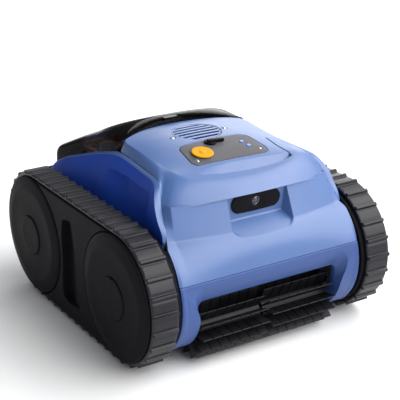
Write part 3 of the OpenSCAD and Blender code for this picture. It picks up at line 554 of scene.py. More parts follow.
# top edge x, y, then lower edge x, y, z, then how far out the slope bulges, front centre to rear
hoodTable = [
    (0, -160.5, 0, -184.6, 235.2, 0.3), (30, -159.2, 32, -183.4, 235, 0.3),
    (55, -156, 63, -180, 233.8, 0.3), (76, -150.5, 93, -174.4, 231.6, 0.34),
    (91, -142, 119, -168, 229.2, 0.42), (99.5, -131, 134.5, -161, 228, 0.5),
    (102.6, -121, 140.3, -151, 230.6, 0.56), (103.6, -112, 138.3, -144.6, 237.5, 0.56),
    (104.3, -103, 135.4, -138, 245.6, 0.52), (104.8, -94, 131.6, -130, 253.3, 0.47),
    (105.3, -84, 128.8, -120, 257, 0.42), (105.8, -70, 124.8, -102, 257.6, 0.36),
    (106.6, -50, 121, -72, 257.3, 0.34), (107.5, -28, 117.5, -36, 258, 0.32), (108, -8, 115, -5, 258.6, 0.3),
    (107.5, 8, 113, 14, 258.6, 0.3), (103, 18, 107, 24, 258, 0.3), (90, 25, 92, 29, 262, 0.3),
    (70, 35, 71, 38, 262, 0.3), (45, 45, 45, 48, 262, 0.3), (20, 51, 20, 54, 262, 0.3),
    (0, 52.5, 0, 55.5, 262, 0.3)]

platePlan = [(-52, -56), (50, -55), (61, -63), (65.5, -106), (62, -118), (52, -121), (-50, -118),
             (-62, -119), (-67, -108), (-61, -65)]
plateOutline = roundedOutline(platePlan, 4.5, 5)
scoop = {"left": -76.0, "right": 89.5, "depth": 14.0, "frontWall": 1.8, "endWall": 2.0}
bed = {"depth": 1.1, "grooveDepth": 1.6, "grooveHalf": 1.3, "screwSink": 2.0, "screwR": 5.2}
scoopBack = spline([(-76, -133.7), (-52, -129), (-15.5, -127), (20, -127.5), (55, -129.4), (86, -131.6),
                    (100, -133)], 60)
scoopFront = spline([(-76, -134), (-60, -141.4), (-29, -147), (5, -150), (41, -149.6), (66, -147),
                     (84, -141.8), (97, -136)], 60)
groove = np.array([(87.2, -76.9), (85.9, -104.7), (87.6, -122.7), (89.5, -133)])
screwSpots = [(s * 46.3, -23.0) for s in (-1, 1)]
grille = {"slats": 7, "radius": 37.9, "lean": 0.55, "tall": 9.0, "thick": 4.9, "sink": 0.6}


def deckDepth(x, y):
    # how far the plate bed, the finger scoop, the groove and the screw sinks go below the deck
    plateBed = bed["depth"] * ease((insideOf(x, y, plateOutline) + 1.0) / 1.0)
    back = np.interp(x, scoopBack[:, 0], scoopBack[:, 1])
    front = np.interp(x, scoopFront[:, 0], scoopFront[:, 1])
    s = np.clip((back - y) / np.maximum(back - front, 0.5), 0, 1.2)
    reach = ease((x - scoop["left"]) / 75) * 0.8 + 0.2 * ease((x - 20) / 70)
    deepest = scoop["depth"] * reach
    ramped = deepest * np.clip(s, 0, 1)
    wallUp = ease((y - front + 0.2) / scoop["frontWall"])
    ends = (ease((scoop["right"] - x) / scoop["endWall"])
            * ease((x - scoop["left"]) / scoop["endWall"]))
    cut = ramped * wallUp * ends
    line = np.full(np.shape(x), 1e9)
    for a, b in zip(groove[:-1], groove[1:]):
        e = b - a
        t = np.clip(((x - a[0]) * e[0] + (y - a[1]) * e[1]) / (e @ e), 0, 1)
        line = np.minimum(line, np.hypot(x - a[0] - t * e[0], y - a[1] - t * e[1]))
    slit = bed["grooveDepth"] * ease((bed["grooveHalf"] - line) / 1.0)
    sink = sum(bed["screwSink"] * ease((bed["screwR"] - np.hypot(x - a, y - b)) / 1.4)
               for a, b in screwSpots)
    return np.maximum(np.maximum(plateBed, cut), np.maximum(slit, sink))


def hoodRings():
    # each ring is a fixed share of the way from the round rim to the top outline, laid on the deck
    # height; the skirt is a quadratic curve from there to the lower outline; then back up inside
    half = np.array(hoodTable)
    other = half[1:-1][::-1] * [-1, 1, -1, 1, 1, 1]
    loop = spline(np.vstack([half, other]), deck["samples"], closed=True)
    top, low, share = loop[:, :2], loop[:, 2:5], loop[:, 5:]
    centre = ventAt[:2]
    away = top - centre
    angle = np.arctan2(away[:, 1], away[:, 0])
    rim = centre + (grille["radius"] + 0.3) * np.stack([np.cos(angle), np.sin(angle)], 1)
    u = np.concatenate([[0, 0.008, 0.016], np.linspace(0.03, 1, 108)])[:, None, None]
    flat = rim[None] * (1 - u) + top[None] * u
    x, y = flat[..., 0], flat[..., 1]
    z = deckZ(x, y) - deckDepth(x, y)
    z[0] -= 1.0
    z[1] -= 0.3
    over = np.stack([x, y, z], -1)
    edge = over[-1]
    drop = low - edge
    bend = edge + drop * share
    bend[:, 2] = edge[:, 2] - 0.14 * (edge[:, 2] - low[:, 2])
    t = np.linspace(0, 1, 30)[1:, None, None]
    skirt = (1 - t) ** 2 * edge[None] + 2 * t * (1 - t) * bend[None] + t * t * low[None]
    wallDown = [0, 0, deck["wall"]]
    inward = np.concatenate([centre[None] - low[:, :2], np.zeros((len(low), 1))], 1)
    inward /= np.linalg.norm(inward, axis=1)[:, None]
    lip = np.stack([low + inward * 0.8 + [0, 0, -0.5], low + inward * deck["wall"] + [0, 0, -0.3]])
    w = np.linspace(1, 0, 12)[:, None, None]
    base = np.stack([x[-1], y[-1], np.minimum(z[-1], deckZ(x[-1], y[-1]))], -1)
    innerSkirt = ((low + inward * deck["wall"] + [0, 0, 1]) * w
                  + (base + inward * 1.5 - wallDown) * (1 - w))
    inner = over[::-6] - wallDown
    return np.concatenate([over, skirt, lip, innerSkirt[:-1], inner, over[:1] - wallDown])


addPiece("hood_shell", [sheetPart(hoodRings(), closeRows=True, closeCols=True)], bodyBlue, "chassis",
         ("top_hood",), angle=42)
print("hood done")


# outlet grille: a ring and seven slanted slats under the deck surface

def grilleParts():
    # each slat is one leaning section carried across the circle, as long as the chord there
    cx, cy = ventAt[:2]
    r = grille["radius"]
    a = np.linspace(0, 2 * np.pi, 160, endpoint=False)
    ringR = np.array([r, r, r - 0.4, r - 2.2, r - 2.6, r - 2.6])
    drop = np.array([12, 1.0, 0.5, 0.5, 1.0, 12])
    x, y = cx + ringR[:, None] * np.cos(a), cy + ringR[:, None] * np.sin(a)
    parts = [sheetPart(np.stack([x, y, deckZ(x, y) - drop[:, None]], -1), closeRows=True, closeCols=True)]
    pitch = 2 * r / grille["slats"]
    wide, tall, slide = grille["thick"], grille["tall"], grille["lean"] * grille["tall"]
    section = np.array([(0, -0.5), (0.5, 0), (wide - 0.5, 0), (wide, -0.5), (wide + slide, -tall),
                        (slide, -tall)])
    for k in range(grille["slats"]):
        mid = cy - r + (k + 0.32) * pitch
        edge = cy + np.clip(section[:, 0] + mid - cy, -r + 2.2, r - 2.2)
        half = np.sqrt(np.maximum((r - 1.6) ** 2 - (edge - cy) ** 2, 4))
        u = np.linspace(-1, 1, 24)[:, None]
        x = cx + u * half
        y = np.broadcast_to(edge, x.shape)
        z = deckZ(x, y) - grille["sink"] + section[:, 1]
        parts.append(sheetPart(np.stack([x, y, z], -1), closeCols=True, capRows=True))
    return parts


addPiece("outlet_grille", grilleParts(), bodyBlue, "chassis", ("vent_grille",), angle=40)


# control plate, cap, switch, lamps

# the plate is a flat label plate let into the deck; the cap and the switch stand on its middle line
plate = {"lift": 0.35, "thick": 2.2, "capHole": 14.6, "lamps": ((39, -81), (42, -95)), "screwX": 54.4,
         "screwY": -107.5, "cap": (-37.0, -92.0), "switch": (-8, -68)}


def tiltedFrame(x, y):
    # a place on the deck with its two tangent directions and its normal
    slope = 2 * (y - deck["crownY"]) / deck["fall"]
    up = np.array([0, slope, 1]) / math.hypot(slope, 1)
    fore = np.array([0, up[2], -up[1]])
    base = np.array([x, y, deck["top"] - (y - deck["crownY"]) ** 2 / deck["fall"]])
    return base, np.array([1.0, 0, 0]), fore, up


def onDeck(points, spot):
    # moves points given along those three directions to their place on the deck
    base, u, v, w = tiltedFrame(*spot)
    p = np.asarray(points, float)
    return base + p[..., :1] * u + p[..., 1:2] * v + p[..., 2:] * w


def plateRings():
    # rings from the cap's hole to the plate's outline, with sinks for lamps and screws taken off
    hole, spot = plate["capHole"], plate["cap"]
    outline = roundedOutline(platePlan, 4.5, 9)
    dense = spline(outline, 400, closed=True)
    away = dense - spot
    a = np.arctan2(away[:, 1], away[:, 0])
    rim = np.array(spot) + hole * np.stack([np.cos(a), np.sin(a)], 1)
    u = np.concatenate([np.linspace(0, 0.985, 60), [0.992, 1.0]])[:, None, None]
    flat = rim * (1 - u) + (np.array(spot) + away * (1 - 0.5 / np.linalg.norm(away, axis=1))[:, None]) * u
    x, y = flat[..., 0], flat[..., 1]
    d = insideOf(x, y, outline)
    lampSink = sum(0.5 * ease((3.9 - np.maximum(np.abs(x - a0) * 0.86, np.abs(y - b0))) / 0.5)
                   for a0, b0 in plate["lamps"])
    screwSink = sum(0.9 * ease((3.9 - np.hypot(x - s * plate["screwX"], y - plate["screwY"])) / 0.8)
                    for s in (-1, 1))
    border = 0.35 * (1 - ease((d - 1.5) / 0.7)) + 0.3 * (1 - ease((d - 0.4) / 0.5))
    z = deckZ(x, y) + plate["lift"] - border - lampSink - screwSink
    z[0] -= 0.4
    upper = np.stack([x, y, z], -1)
    under = upper[::-8] - [0, 0, plate["thick"]]
    under[..., 2] = np.minimum(under[..., 2], deckZ(under[..., 0], under[..., 1]) - 1.0)
    return np.concatenate([upper, under])


addPiece("control_plate", [sheetPart(plateRings(), closeRows=True, closeCols=True)], plateGrey,
         "chassis", ("control_panel",), angle=40)


def capParts():
    # a low knob: grip flange with shallow finger flats, a dished top, a nub and the stem below
    a = np.linspace(0, 2 * np.pi, 144, endpoint=False)
    r = np.array([0, 1.6, 3.2, 4.0, 4.6, 6.0, 9.0, 12.5, 14.6, 15.7, 16.3, 16.5, 16.5, 15.9, 12.2,
                  12, 12, 0])
    h = np.array([3.3, 3.3, 3.2, 2.9, 2.5, 2.35, 2.35, 2.5, 2.7, 2.6, 2.3, 1.9, 1.1, 0.7, 0.6,
                  0.5, -8, -8])
    flutes = 0.28 * np.cos(24 * a)
    radius = r[:, None] + np.where((r[:, None] > 15) & (h[:, None] > 1), flutes[None, :], 0)
    p = np.stack([radius * np.cos(a), radius * np.sin(a), np.repeat(h[:, None], len(a), 1)], -1)
    return sheetPart(onDeck(p, plate["cap"]), closeCols=True)


addPiece("yellow_cap", [capParts()], capYellow, "charge_cap", ("charge_cap",), angle=40)


def switchParts():
    # a round foot and a thumb bar with rounded ends that reaches over it
    a = np.linspace(0, 2 * np.pi, 96, endpoint=False)
    r = np.array([0, 7.6, 8.8, 9.4, 9.5, 9.5, 0])
    h = np.array([3.6, 3.6, 3.4, 2.9, 2.3, 0.7, 0.7])
    foot = np.stack([r[:, None] * np.cos(a), r[:, None] * np.sin(a),
                     np.repeat(h[:, None], len(a), 1)], -1)
    bar = roundedOutline([(-5.5, -4.4), (23, -4.4), (23, 4.4), (-5.5, 4.4)], 3.6, 8)
    scale = np.array([1.0, 1.0, 0.985, 0.95, 0.88])
    level = np.array([1.0, 4.2, 5.0, 5.5, 5.7])
    mid = np.array([8.75, 0])
    rings = [np.column_stack([mid + (bar - mid) * k, np.full(len(bar), z)])
             for k, z in zip(scale, level)]
    return [sheetPart(onDeck(foot, plate["switch"]), closeCols=True),
            sheetPart(onDeck(np.stack(rings), plate["switch"]), closeCols=True, capRows=True)]


addPiece("black_switch", switchParts(), glossBlack, "power_switch",
         ("power_switch",), angle=40)


def lampParts():
    # small rounded blocks that narrow in three steps towards the top
    parts = []
    outline = roundedOutline([(-3.1, -2.6), (3.1, -2.6), (3.1, 2.6), (-3.1, 2.6)], 0.8, 5)
    for spot in plate["lamps"]:
        rings = [np.column_stack([outline * k, np.full(len(outline), z)])
                 for k, z in ((1, -4), (1, 0.25), (0.93, 0.5), (0.8, 0.6))]
        parts.append(sheetPart(onDeck(np.stack(rings), spot), closeCols=True, capRows=True))
    return parts


addPiece("status_lamps", lampParts(), lampBlue, "chassis", ("indicator_lights",),
         angle=40)


def screwParts(spots, radius, lift):
    # pan heads: a low dome, a hexagon socket pressed into it and a short shank
    parts = []
    a = np.linspace(0, 2 * np.pi, 48, endpoint=False)
    hexR = radius * 0.45 / np.cos((a + np.pi / 6) % (np.pi / 3) - np.pi / 6)
    r = [np.zeros_like(a), hexR, hexR, hexR + 0.25]
    r += [np.full_like(a, radius * k) for k in (0.75, 0.92, 1, 1, 0)]
    h = lift - np.array([1.1, 1.1, 0.1, 0, 0.4, 1.0, 1.8, 7, 7])
    p = np.stack([np.stack([q * np.cos(a), q * np.sin(a), np.full_like(a, z)], -1)
                  for q, z in zip(r, h)])
    for spot in spots:
        parts.append(sheetPart(onDeck(p, spot), closeCols=True))
    return parts


addPiece("outlet_screws", screwParts(screwSpots, 3.8, -0.2), steel, "chassis", ("vent_screws",))
plateScrewSpots = [(s * plate["screwX"], plate["screwY"]) for s in (-1, 1)]
addPiece("plate_screws", screwParts(plateScrewSpots, 2.8, 0.1), steel, "chassis",
         ("panel_screws",))
print("deck fittings done")


# nose: front panel with the camera pocket, a soft crease and the bulge down to the seam

nose = {"panelHalf": 138.0, "seamY": -221.3, "seamZ": 138.3, "creaseZ": 188.3, "lipZ": 233.0,
        "wall": 4.0, "pocketHalf": 53.0, "pocketBack": -174.6, "stepZ": 197.0, "floorSlope": 1.93}


def noseGrid():
    # rows run down the front panel, over the soft crease and down the bulge, then back up inside
    x = np.concatenate([np.linspace(-154.5, -138.6, 14), np.linspace(-137.8, -58, 46)[:-1],
                        np.linspace(-58, -38, 34)[:-1]])
    x = np.concatenate([x, np.linspace(-38, 38, 44), -x[::-1]])
    ax = np.abs(x)
    bow = np.clip(1 - (ax / nose["panelHalf"]) ** 2, 0, 1)
    beyond = np.clip((ax - nose["panelHalf"]) / 16.5, 0, 1)
    creaseY = -181.1 - 18.2 * bow
    lipY = -162.9 - 18.2 * bow
    up = np.linspace(0, 1, 96)[:, None]
    lipZ = nose["lipZ"] + 3.2 * ease((105 - ax) / 95)
    z = lipZ + (nose["creaseZ"] - lipZ) * up
    y = lipY + (creaseY - lipY) * up ** 1.04
    edgeX = np.interp(-z, [-233, -188.3], [134.7, 138.2])
    stripX = np.interp(-z, [-233, -231, -215, -203, -190, -188.3], [139.5, 140, 143.6, 147, 149.6, 151])
    stripY = np.interp(-z, [-233, -231, -215, -203, -190, -188.3],
                       [-148.5, -149.6, -159.8, -171.2, -178.4, -181])
    wide = np.clip(ax, 0, nose["panelHalf"]) * edgeX / nose["panelHalf"]
    wide = wide + beyond * (stripX - edgeX)
    y = y + beyond * (stripY - y)
    panelPart = np.stack([np.sign(x) * wide, y, np.broadcast_to(z, y.shape)], -1)
    t = np.linspace(0, 1, 60)[1:, None]
    seamY = nose["seamY"] + 1.6 * ease((ax - 150) / 4.5)
    bellyY = (seamY + creaseY) / 2 - 9.5 - 1.5 * bow
    bellyZ = (nose["seamZ"] + nose["creaseZ"]) / 2 + 6.5
    by = (1 - t) ** 2 * creaseY + 2 * t * (1 - t) * bellyY + t * t * seamY
    bz = (1 - t) ** 2 * nose["creaseZ"] + 2 * t * (1 - t) * bellyZ + t * t * nose["seamZ"]
    wide = np.clip(ax, 0, nose["panelHalf"]) + beyond * (12.8 + 3.7 * ease(t * 6))
    bulge = np.stack([np.sign(x) * wide, by, np.broadcast_to(bz, by.shape)], -1)
    outer = np.concatenate([panelPart, bulge])
    # the crease between panel and bulge is eased by averaging its rows with their neighbours
    for step in range(8):
        outer[92:104] = 0.5 * outer[92:104] + 0.25 * (outer[91:103] + outer[93:105])
    # camera pocket: whichever of its back, side walls and sloping floor is nearest the surface
    y, z = outer[..., 1], outer[..., 2]
    back = nose["pocketBack"] - y
    cornerCut = 14.0 * ease((191.5 - z) / 13) ** 1.6
    sideWall = (nose["pocketHalf"] - cornerCut - ax) * 2.6
    floor = nose["pocketBack"] + 0.4 - (nose["stepZ"] - z) * nose["floorSlope"] - y
    pocket = softMin(softMin(back, sideWall, 2.2), floor, 3.2)
    outer[..., 1] = y + np.clip(pocket, 0, None) * ease((pocket + 0.3) / 0.9)
    seamRound = outer[-1:] + [0, 0.9, -0.7]
    inner = outer[::-3] + [0, nose["wall"], 0]
    return np.concatenate([outer, seamRound, inner])


addPiece("nose_moulding", [sheetPart(noseGrid(), closeRows=True, capCols=True)], bodyBlue, "chassis",
         ("nose_shell",), angle=44)


# camera window and lens

cameraAt = middle("camera_window")
window = {"w": 84.0, "h": 28.0, "lensHole": 7.0, "drop": 0.8}


def windowRings():
    # rings from the lens hole out to a pill outline, its edge rounded over
    a = np.linspace(0, 2 * np.pi, 160, endpoint=False)
    reach = (window["w"] - window["h"]) / 2
    r = window["h"] / 2
    pill = np.stack([np.clip(np.cos(a) * 3.2, -1, 1) * reach + r * np.cos(a), r * np.sin(a)], 1)
    hole = window["lensHole"] * np.stack([np.cos(a), np.sin(a)], 1)
    stops = [(0, 2.4), (0, 0.35), (0.04, 0), (0.5, -0.15), (0.93, -0.1), (0.975, 0.1), (1, 0.5),
             (1, 2.6)]
    rings = [np.column_stack([hole * (1 - k) + pill * k, np.full(len(a), d)]) for k, d in stops]
    p = np.stack(rings)
    y = corner("camera_window", 0)[1]
    z = cameraAt[2] - window["drop"] + p[..., 1]
    return np.stack([cameraAt[0] + p[..., 0], y + p[..., 2], z], -1)


addPiece("camera_pane", [sheetPart(windowRings(), closeRows=True, closeCols=True)], glossBlack,
         "chassis", ("camera_window",), angle=50)

# depth behind the pane and radius along the barrel: a domed glass, two thin rings and the tube
lens = {"rings": [(0.9, 0), (0.95, 1.6), (1.3, 3.0), (1.9, 4.0), (1.0, 4.2), (0.7, 4.8), (1.1, 5.4),
                  (1.0, 6.2), (1.8, 6.7), (16, 6.7), (16, 0)], "board": 11.0, "boardThick": 3.0}


def lensParts():
    # the profile turned about the viewing axis, with a square board at its back
    front, z, half = corner("camera_window", 0)[1], cameraAt[2], lens["board"]
    rings = np.array(lens["rings"]) + [front, 0]
    square = [(-half, z - half), (half, z - half), (half, z + half), (-half, z + half)]
    end = rings[-1, 0]
    return [turned(rings, (cameraAt[0], 0, z), "y", 96, closed=False),
            prism(square, end, end + lens["boardThick"], axis=1)]


addPiece("camera_lens_barrel", lensParts(), lensGlass, "chassis", ("camera_lens",),
         angle=30)
print("nose done")


# front frame: a bevelled arch round the roller opening, bent round the front wheels' axis

arch = {"radius": 92.8, "foot": 33.0, "top": 137.5, "halfW": 154.5, "cornerCut": 22.0,
        "openHalf": 121.0, "openTop": 105.5, "bevelHalf": 133.0, "bevelTop": 130.5}


def archPath(half, top, r, count):
    # up the left leg, round a corner of radius r, across, and down the right leg
    n1, n2, n3 = count
    legs = np.linspace(arch["foot"], top - r, n1, endpoint=False)
    turnA = np.linspace(0, np.pi / 2, n2, endpoint=False)
    flat = np.linspace(-half + r, 0, n3)
    left = np.concatenate([
        np.column_stack([np.full(n1, -half), legs]),
        np.column_stack([-half + r - r * np.cos(turnA), top - r + r * np.sin(turnA)]),
        np.column_stack([flat, np.full(n3, top)])])
    right = left[:-1][::-1] * [-1, 1]
    return np.vstack([left, right])


def outerArchPath(half, top, count):
    # the same walk with a square corner, so its points pair up with those of the inner paths
    n1, n2, n3 = count
    cut = arch["cornerCut"]
    legs = np.linspace(arch["foot"], top - cut, n1, endpoint=False)
    k = np.linspace(0, 2, n2, endpoint=False)
    turnX = -half + np.clip(k - 1, 0, 1) * cut
    turnZ = top - cut + np.clip(k, 0, 1) * cut
    flat = np.linspace(-half + cut, 0, n3)
    left = np.concatenate([np.column_stack([np.full(n1, -half), legs]), np.column_stack([turnX, turnZ]),
                           np.column_stack([flat, np.full(n3, top)])])
    return np.vstack([left, left[:-1][::-1] * [-1, 1]])


def archGrid():
    # rows run from the outer edge over the flat face and the bevel to the opening and back behind;
    # each row is a path in front view, pushed onto a cylinder about the front wheels' axis
    count = (26, 16, 40)
    outer = outerArchPath(arch["halfW"], arch["top"], count)
    rim = archPath(arch["halfW"] - 0.8, arch["top"] - 0.6, 1.0, count)
    bevelOut = archPath(arch["bevelHalf"], arch["bevelTop"], 15, count)
    bevelMid = archPath(127, 117, 13, count)
    # the bevel narrows down the legs
    for path, spare in ((bevelOut, 9.0), (bevelMid, 4.0)):
        path[:, 0] -= np.sign(path[:, 0]) * spare * (1 - ease((path[:, 1] - 78) / 36))
    inner = archPath(arch["openHalf"], arch["openTop"], 10, count)
    stops = [(outer, 4.0), (outer, 1.0)]
    stops += [(rim * (1 - k) + bevelOut * k, depth)
              for k, depth in ((0.03, 0.2), (0.1, 0), (0.2, 0), (0.26, 0.7), (0.34, 0.8), (1, 0.8))]
    stops += [(bevelOut * 0.92 + bevelMid * 0.08, 1.2), (bevelMid, 9.6),
              (inner * 0.93 + bevelMid * 0.07, 14.8), (inner, 15.6), (inner, 23), (bevelOut, 20),
              (outer, 17)]
    rows = []
    for path, depth in stops:
        r = arch["radius"] - depth
        dz = path[:, 1] - axleZ
        y = frontY - np.sqrt(np.maximum(r * r - dz * dz, 100))
        rows.append(np.column_stack([path[:, 0], y, path[:, 1]]))
    return np.stack(rows)


# the frame blue carries painted shade for the arch's downward-facing bevel
addPiece("front_arch", [sheetPart(archGrid(), closeRows=True, capCols=True)], frameBlueWithShade, "chassis",
         ("front_frame",), angle=40)
print("front frame done")


# side fairings: a ridge line carries a strip, a raised border and a sunk outer face

sunkFace = {"below": 17.0, "frontY": -119.0, "inward": 8.0, "down": 3.0, "footX": 154.0, "footZ": 168.5}

# seam x, y, z, ridge x, y, z and foot y at each place from the rear to the front corner
fairingTable = [
    (135, 203, 189, 139, 203, 185, 203), (133, 190, 198.5, 138, 190, 195, 190),
    (129, 163, 212.5, 135.5, 163, 209, 166), (124.5, 132, 223.5, 131.5, 132, 220, 136),
    (120, 101, 234.5, 127, 101, 231, 104), (115.5, 70, 244.5, 123, 70, 241, 70),
    (113.5, 45, 251.5, 121.5, 44, 248, 42), (113.8, 20, 257.5, 121.5, 19, 254, 16),
    (115.2, -5, 258.8, 122.5, -7, 256, -12), (117.8, -36, 258.2, 124.6, -38, 255.5, -46),
    (121.2, -72, 257.5, 127.8, -74, 254.5, -80), (125.6, -107.5, 257.6, 132.8, -110, 254.4, -106),
    (130, -127.5, 254.9, 139, -127, 251, -124), (135.3, -139, 244, 146.4, -139.8, 241.2, -134),
    (139.8, -150.2, 229.6, 151.9, -151.4, 228, -145), (143.2, -160.6, 213.6, 153.6, -161.3, 213.4, -152),
    (146.4, -172.2, 202, 154, -171.4, 201, -160), (148.8, -178, 189.6, 154.3, -176, 188.8, -166)]


def fairingGrid(side):
    # columns run from the seam under the deck over the strip to the ridge, then down the outer face,
    # a quadratic curve to the foot, with a smooth step inwards where the face is sunk
    rows = spline(fairingTable, 260)
    seam, ridge, footY = rows[:, :3], rows[:, 3:6], rows[:, 6]
    foot = np.column_stack([np.full(len(rows), sunkFace["footX"]), footY,
                            np.full(len(rows), sunkFace["footZ"])])
    low = [seam + [0.8, 0, -7], seam + [0.4, 0, -1.2], seam + [0.8, 0, -0.1]]
    cross = [seam * (1 - k) + ridge * k + [0, 0, 0.7 * math.sin(math.pi * k)]
             for k in (0.15, 0.5, 0.85)]
    span = np.linspace(0, 1, 70)[1:]
    mid = ridge * 0.5 + foot * 0.5
    mid[:, 0] = ridge[:, 0] + (foot[:, 0] - ridge[:, 0]) * 0.80
    face = []
    length = np.linalg.norm(foot - ridge, axis=1)
    fade = ease((30 - ridge[:, 1]) / 70)
    for k in span:
        p = (1 - k) ** 2 * ridge + 2 * k * (1 - k) * mid + k * k * foot
        border = k * length - sunkFace["below"] - 0.05 * np.clip(ridge[:, 1] + 60, 0, None)
        inside = ease(softMin(border, p[:, 1] - sunkFace["frontY"], 1.0) / 1.6) * fade
        inside = inside * (1 - 0.35 * ease((k * length - 30) / 60))
        p = p - inside[:, None] * [sunkFace["inward"], 0, sunkFace["down"]]
        face.append(p)
    inner = [face[-1] - [4, 0, 0], face[30] - [4.5, 0, 2], ridge - [3.2, 0, 6], seam + [1.4, 0, -7.5]]
    grid = np.stack(low + cross + [ridge + [0.0, 0, 0.1]] + face + inner)
    grid[..., 0] *= side
    return grid


for label, side in sides.items():
    parts = [sheetPart(fairingGrid(side), closeRows=True, capCols=True)]
    fairing = addPiece("fairing_" + label, parts, fairingShadeBlue, "chassis",
                       ("side_fairing_" + label,), angle=48)
    # painted light and shade: faces that look up or forward, the strip along the ridge, take the lighter
    # body colour as painted light; the faces that look sideways keep the darker fairing blue as painted
    # shade
    fairing.data.materials.append(bodyBlue)
    normals = np.zeros(3 * len(fairing.data.polygons))
    fairing.data.polygons.foreach_get("normal", normals)
    paintedLightFaces = np.abs(normals[::3]) < 0.62
    fairing.data.polygons.foreach_set("material_index", paintedLightFaces.astype(int))
print("fairings done")


# lid: a smoked dome from the deck's rear edge to the hinge line

# along the middle: y, height there, half-width, height of the side edge
lidTable = [(16, 280, 108.5, 274), (24, 281.5, 110, 262), (36, 282.6, 112.5, 255.5),
            (54, 283.7, 114.5, 248.6), (70, 283.9, 116, 244), (84, 281, 118, 240),
            (95, 276.5, 119.5, 236.8), (125, 262.6, 124, 226.5), (155, 248.7, 128.4, 214),
            (180, 237, 131.6, 203), (196, 229.6, 133, 196)]
lidShape = {"rearY": 196.0, "rearHalf": 133.0, "rearZ": 193.5, "wall": 2.6}


def lidGrid():
    # rows run back from the deck's rear edge, columns across: the cross-section is a flattened arch,
    # a power of the cosine in height against a power of the sine in width, and the front rises out
    # of the deck's height as a quarter circle
    right = [(25, 49.6), (50, 42.5), (75, 32.5), (93, 23.5), (108, 16)]
    seam = spline([(-x, y) for x, y in right[::-1]] + [(0, 52.5)] + right, 161)
    c = np.linspace(-1, 1, 161)
    table = spline(lidTable, 200)
    rowsY = np.concatenate([[0, 0.004, 0.012, 0.025, 0.045, 0.07, 0.1, 0.13],
                            np.linspace(0.16, 1, 44)])
    phi = c * np.pi / 2
    shapeX = np.sign(phi) * np.abs(np.sin(phi)) ** 0.8
    shapeZ = np.cos(phi) ** 0.3
    grids = []
    for g in rowsY:
        y0 = np.interp(shapeX * 108, seam[:, 0], seam[:, 1])
        y = y0 + (lidShape["rearY"] - y0) * g
        top = np.interp(y, table[:, 0], table[:, 1])
        half = np.interp(y, table[:, 0], table[:, 2])
        foot = np.interp(y, table[:, 0], table[:, 3])
        x = half * shapeX
        z = foot + (top - foot) * shapeZ
        d = np.clip((y - y0) / 20, 0, 1)
        w = np.sqrt(1 - (1 - d) ** 2)
        zSeam = deckZ(x, y0) + 0.2
        z = zSeam * (1 - w) + z * w
        grids.append(np.stack([x, y, z], -1))
    last = grids[-1]
    nearSide = np.abs(last[:, 0] / lidShape["rearHalf"]) ** 5
    for dy, down in ((5, 0.05), (9, 0.13), (11.6, 0.25), (12.6, 0.4), (13, 0.7), (13.2, 1.0)):
        p = last.copy()
        p[:, 1] = lidShape["rearY"] + dy * (1 - 0.75 * nearSide)
        p[:, 2] = last[:, 2] + (lidShape["rearZ"] - last[:, 2]) * down
        grids.append(p)
    outer = np.stack(grids)
    wall = lidShape["wall"]
    inner = outer.copy()
    inner[..., 0] = outer[..., 0] * (1 - wall / 118)
    inner[..., 1] -= np.where(outer[..., 1] > lidShape["rearY"], wall, 0)
    inner[..., 2] -= wall * np.clip((outer[..., 2] - lidShape["rearZ"]) / 6, 0, 1)
    return outer, inner


def lidParts():
    # the outer and inner sheets, joined by a band of faces round their common edge
    outer, inner = lidGrid()
    rows, cols = outer.shape[:2]
    shell = np.concatenate([outer.reshape(-1, 3), inner.reshape(-1, 3)])
    faces = gridQuads(rows, cols).tolist()
    back = (gridQuads(rows, cols)[:, ::-1] + rows * cols).tolist()
    base = rows * cols
    number = np.arange(base).reshape(rows, cols)
    loop = np.concatenate([number[0], number[1:, -1], number[-1, -2::-1], number[-2:0:-1, 0]])
    loop = loop.tolist()
    rim = [[a, b, b + base, a + base] for a, b in zip(loop, loop[1:] + loop[:1])]
    return shell, faces + back + rim


addPiece("smoked_lid", [lidParts()], smokedLid, "lid", ("lid",), angle=40)


def lidEars():
    # hinge ears that stay in the rear shell's brackets
    parts = []
    h = middle("lid_hinge_pin")
    barrel = np.array([(18, 3.06), (18, 6), (39.5, 6), (39.5, 3.06)])
    for s in sides.values():
        parts.append(turned(barrel * [s, 1], (0, h[1], h[2]), "x", 64))
        parts.append(prism([(206, 200), (209, 200), (h[1] + 4.2, h[2] + 4.6), (h[1] - 4.2, h[2] + 4.6)],
                           18 * s, 39.5 * s))
    return parts


addPiece("lid_hinge_ears", lidEars(), blackPlastic, "lid", angle=35)
print("lid done")


# roller: slit rubber flaps in fourteen rows on each half

roller = {"rows": 14, "segments": 7, "tip": 44.4, "root": 17.5, "slit": 1.5}


def flapParts(label, side):
    # a sleeve, and round it rows of thin blades whose section bends back as the square of the reach
    low, high = corner("roller_flaps_" + label, 0), corner("roller_flaps_" + label, 1)
    mid = (low + high) / 2
    x0, x1 = low[0], high[0]
    parts = [turned([(x0, 16), (x0, 18.5), (x1, 18.5), (x1, 16)], (0, mid[1], mid[2]), "x", 96)]
    step = 2 * np.pi / roller["rows"]
    shift = 0 if side < 0 else step / 2
    width = (x1 - x0) / roller["segments"]
    r = np.array([roller["root"], 24, 30, 36, 41, roller["tip"] - 0.4, roller["tip"]])
    halfT = np.array([1.3, 1.0, 0.95, 0.9, 0.85, 0.75, 0.3])
    lag = 0.0009 * (r - roller["root"]) ** 2
    section = np.vstack([np.column_stack([r, halfT + lag]), np.column_stack([r, lag - halfT])[::-1]])
    for k in range(roller["rows"]):
        a = k * step + shift
        u, v = np.array([np.cos(a), np.sin(a)]), np.array([-np.sin(a), np.cos(a)])
        flat = section[:, :1] * u + section[:, 1:] * v + mid[1:]
        for j in range(roller["segments"]):
            s0 = x0 + j * width + (roller["slit"] / 2 if j else 0)
            s1 = x0 + (j + 1) * width - (roller["slit"] / 2 if j < roller["segments"] - 1 else 0)
            parts.append(prism(flat, s0, s1))
    return parts


for label, side in sides.items():
    addPiece("roller_flap_sleeve_" + label, flapParts(label, side), flapRubber, "roller_" + label,
             ("roller_flaps_" + label,), angle=40)
print("roller done")


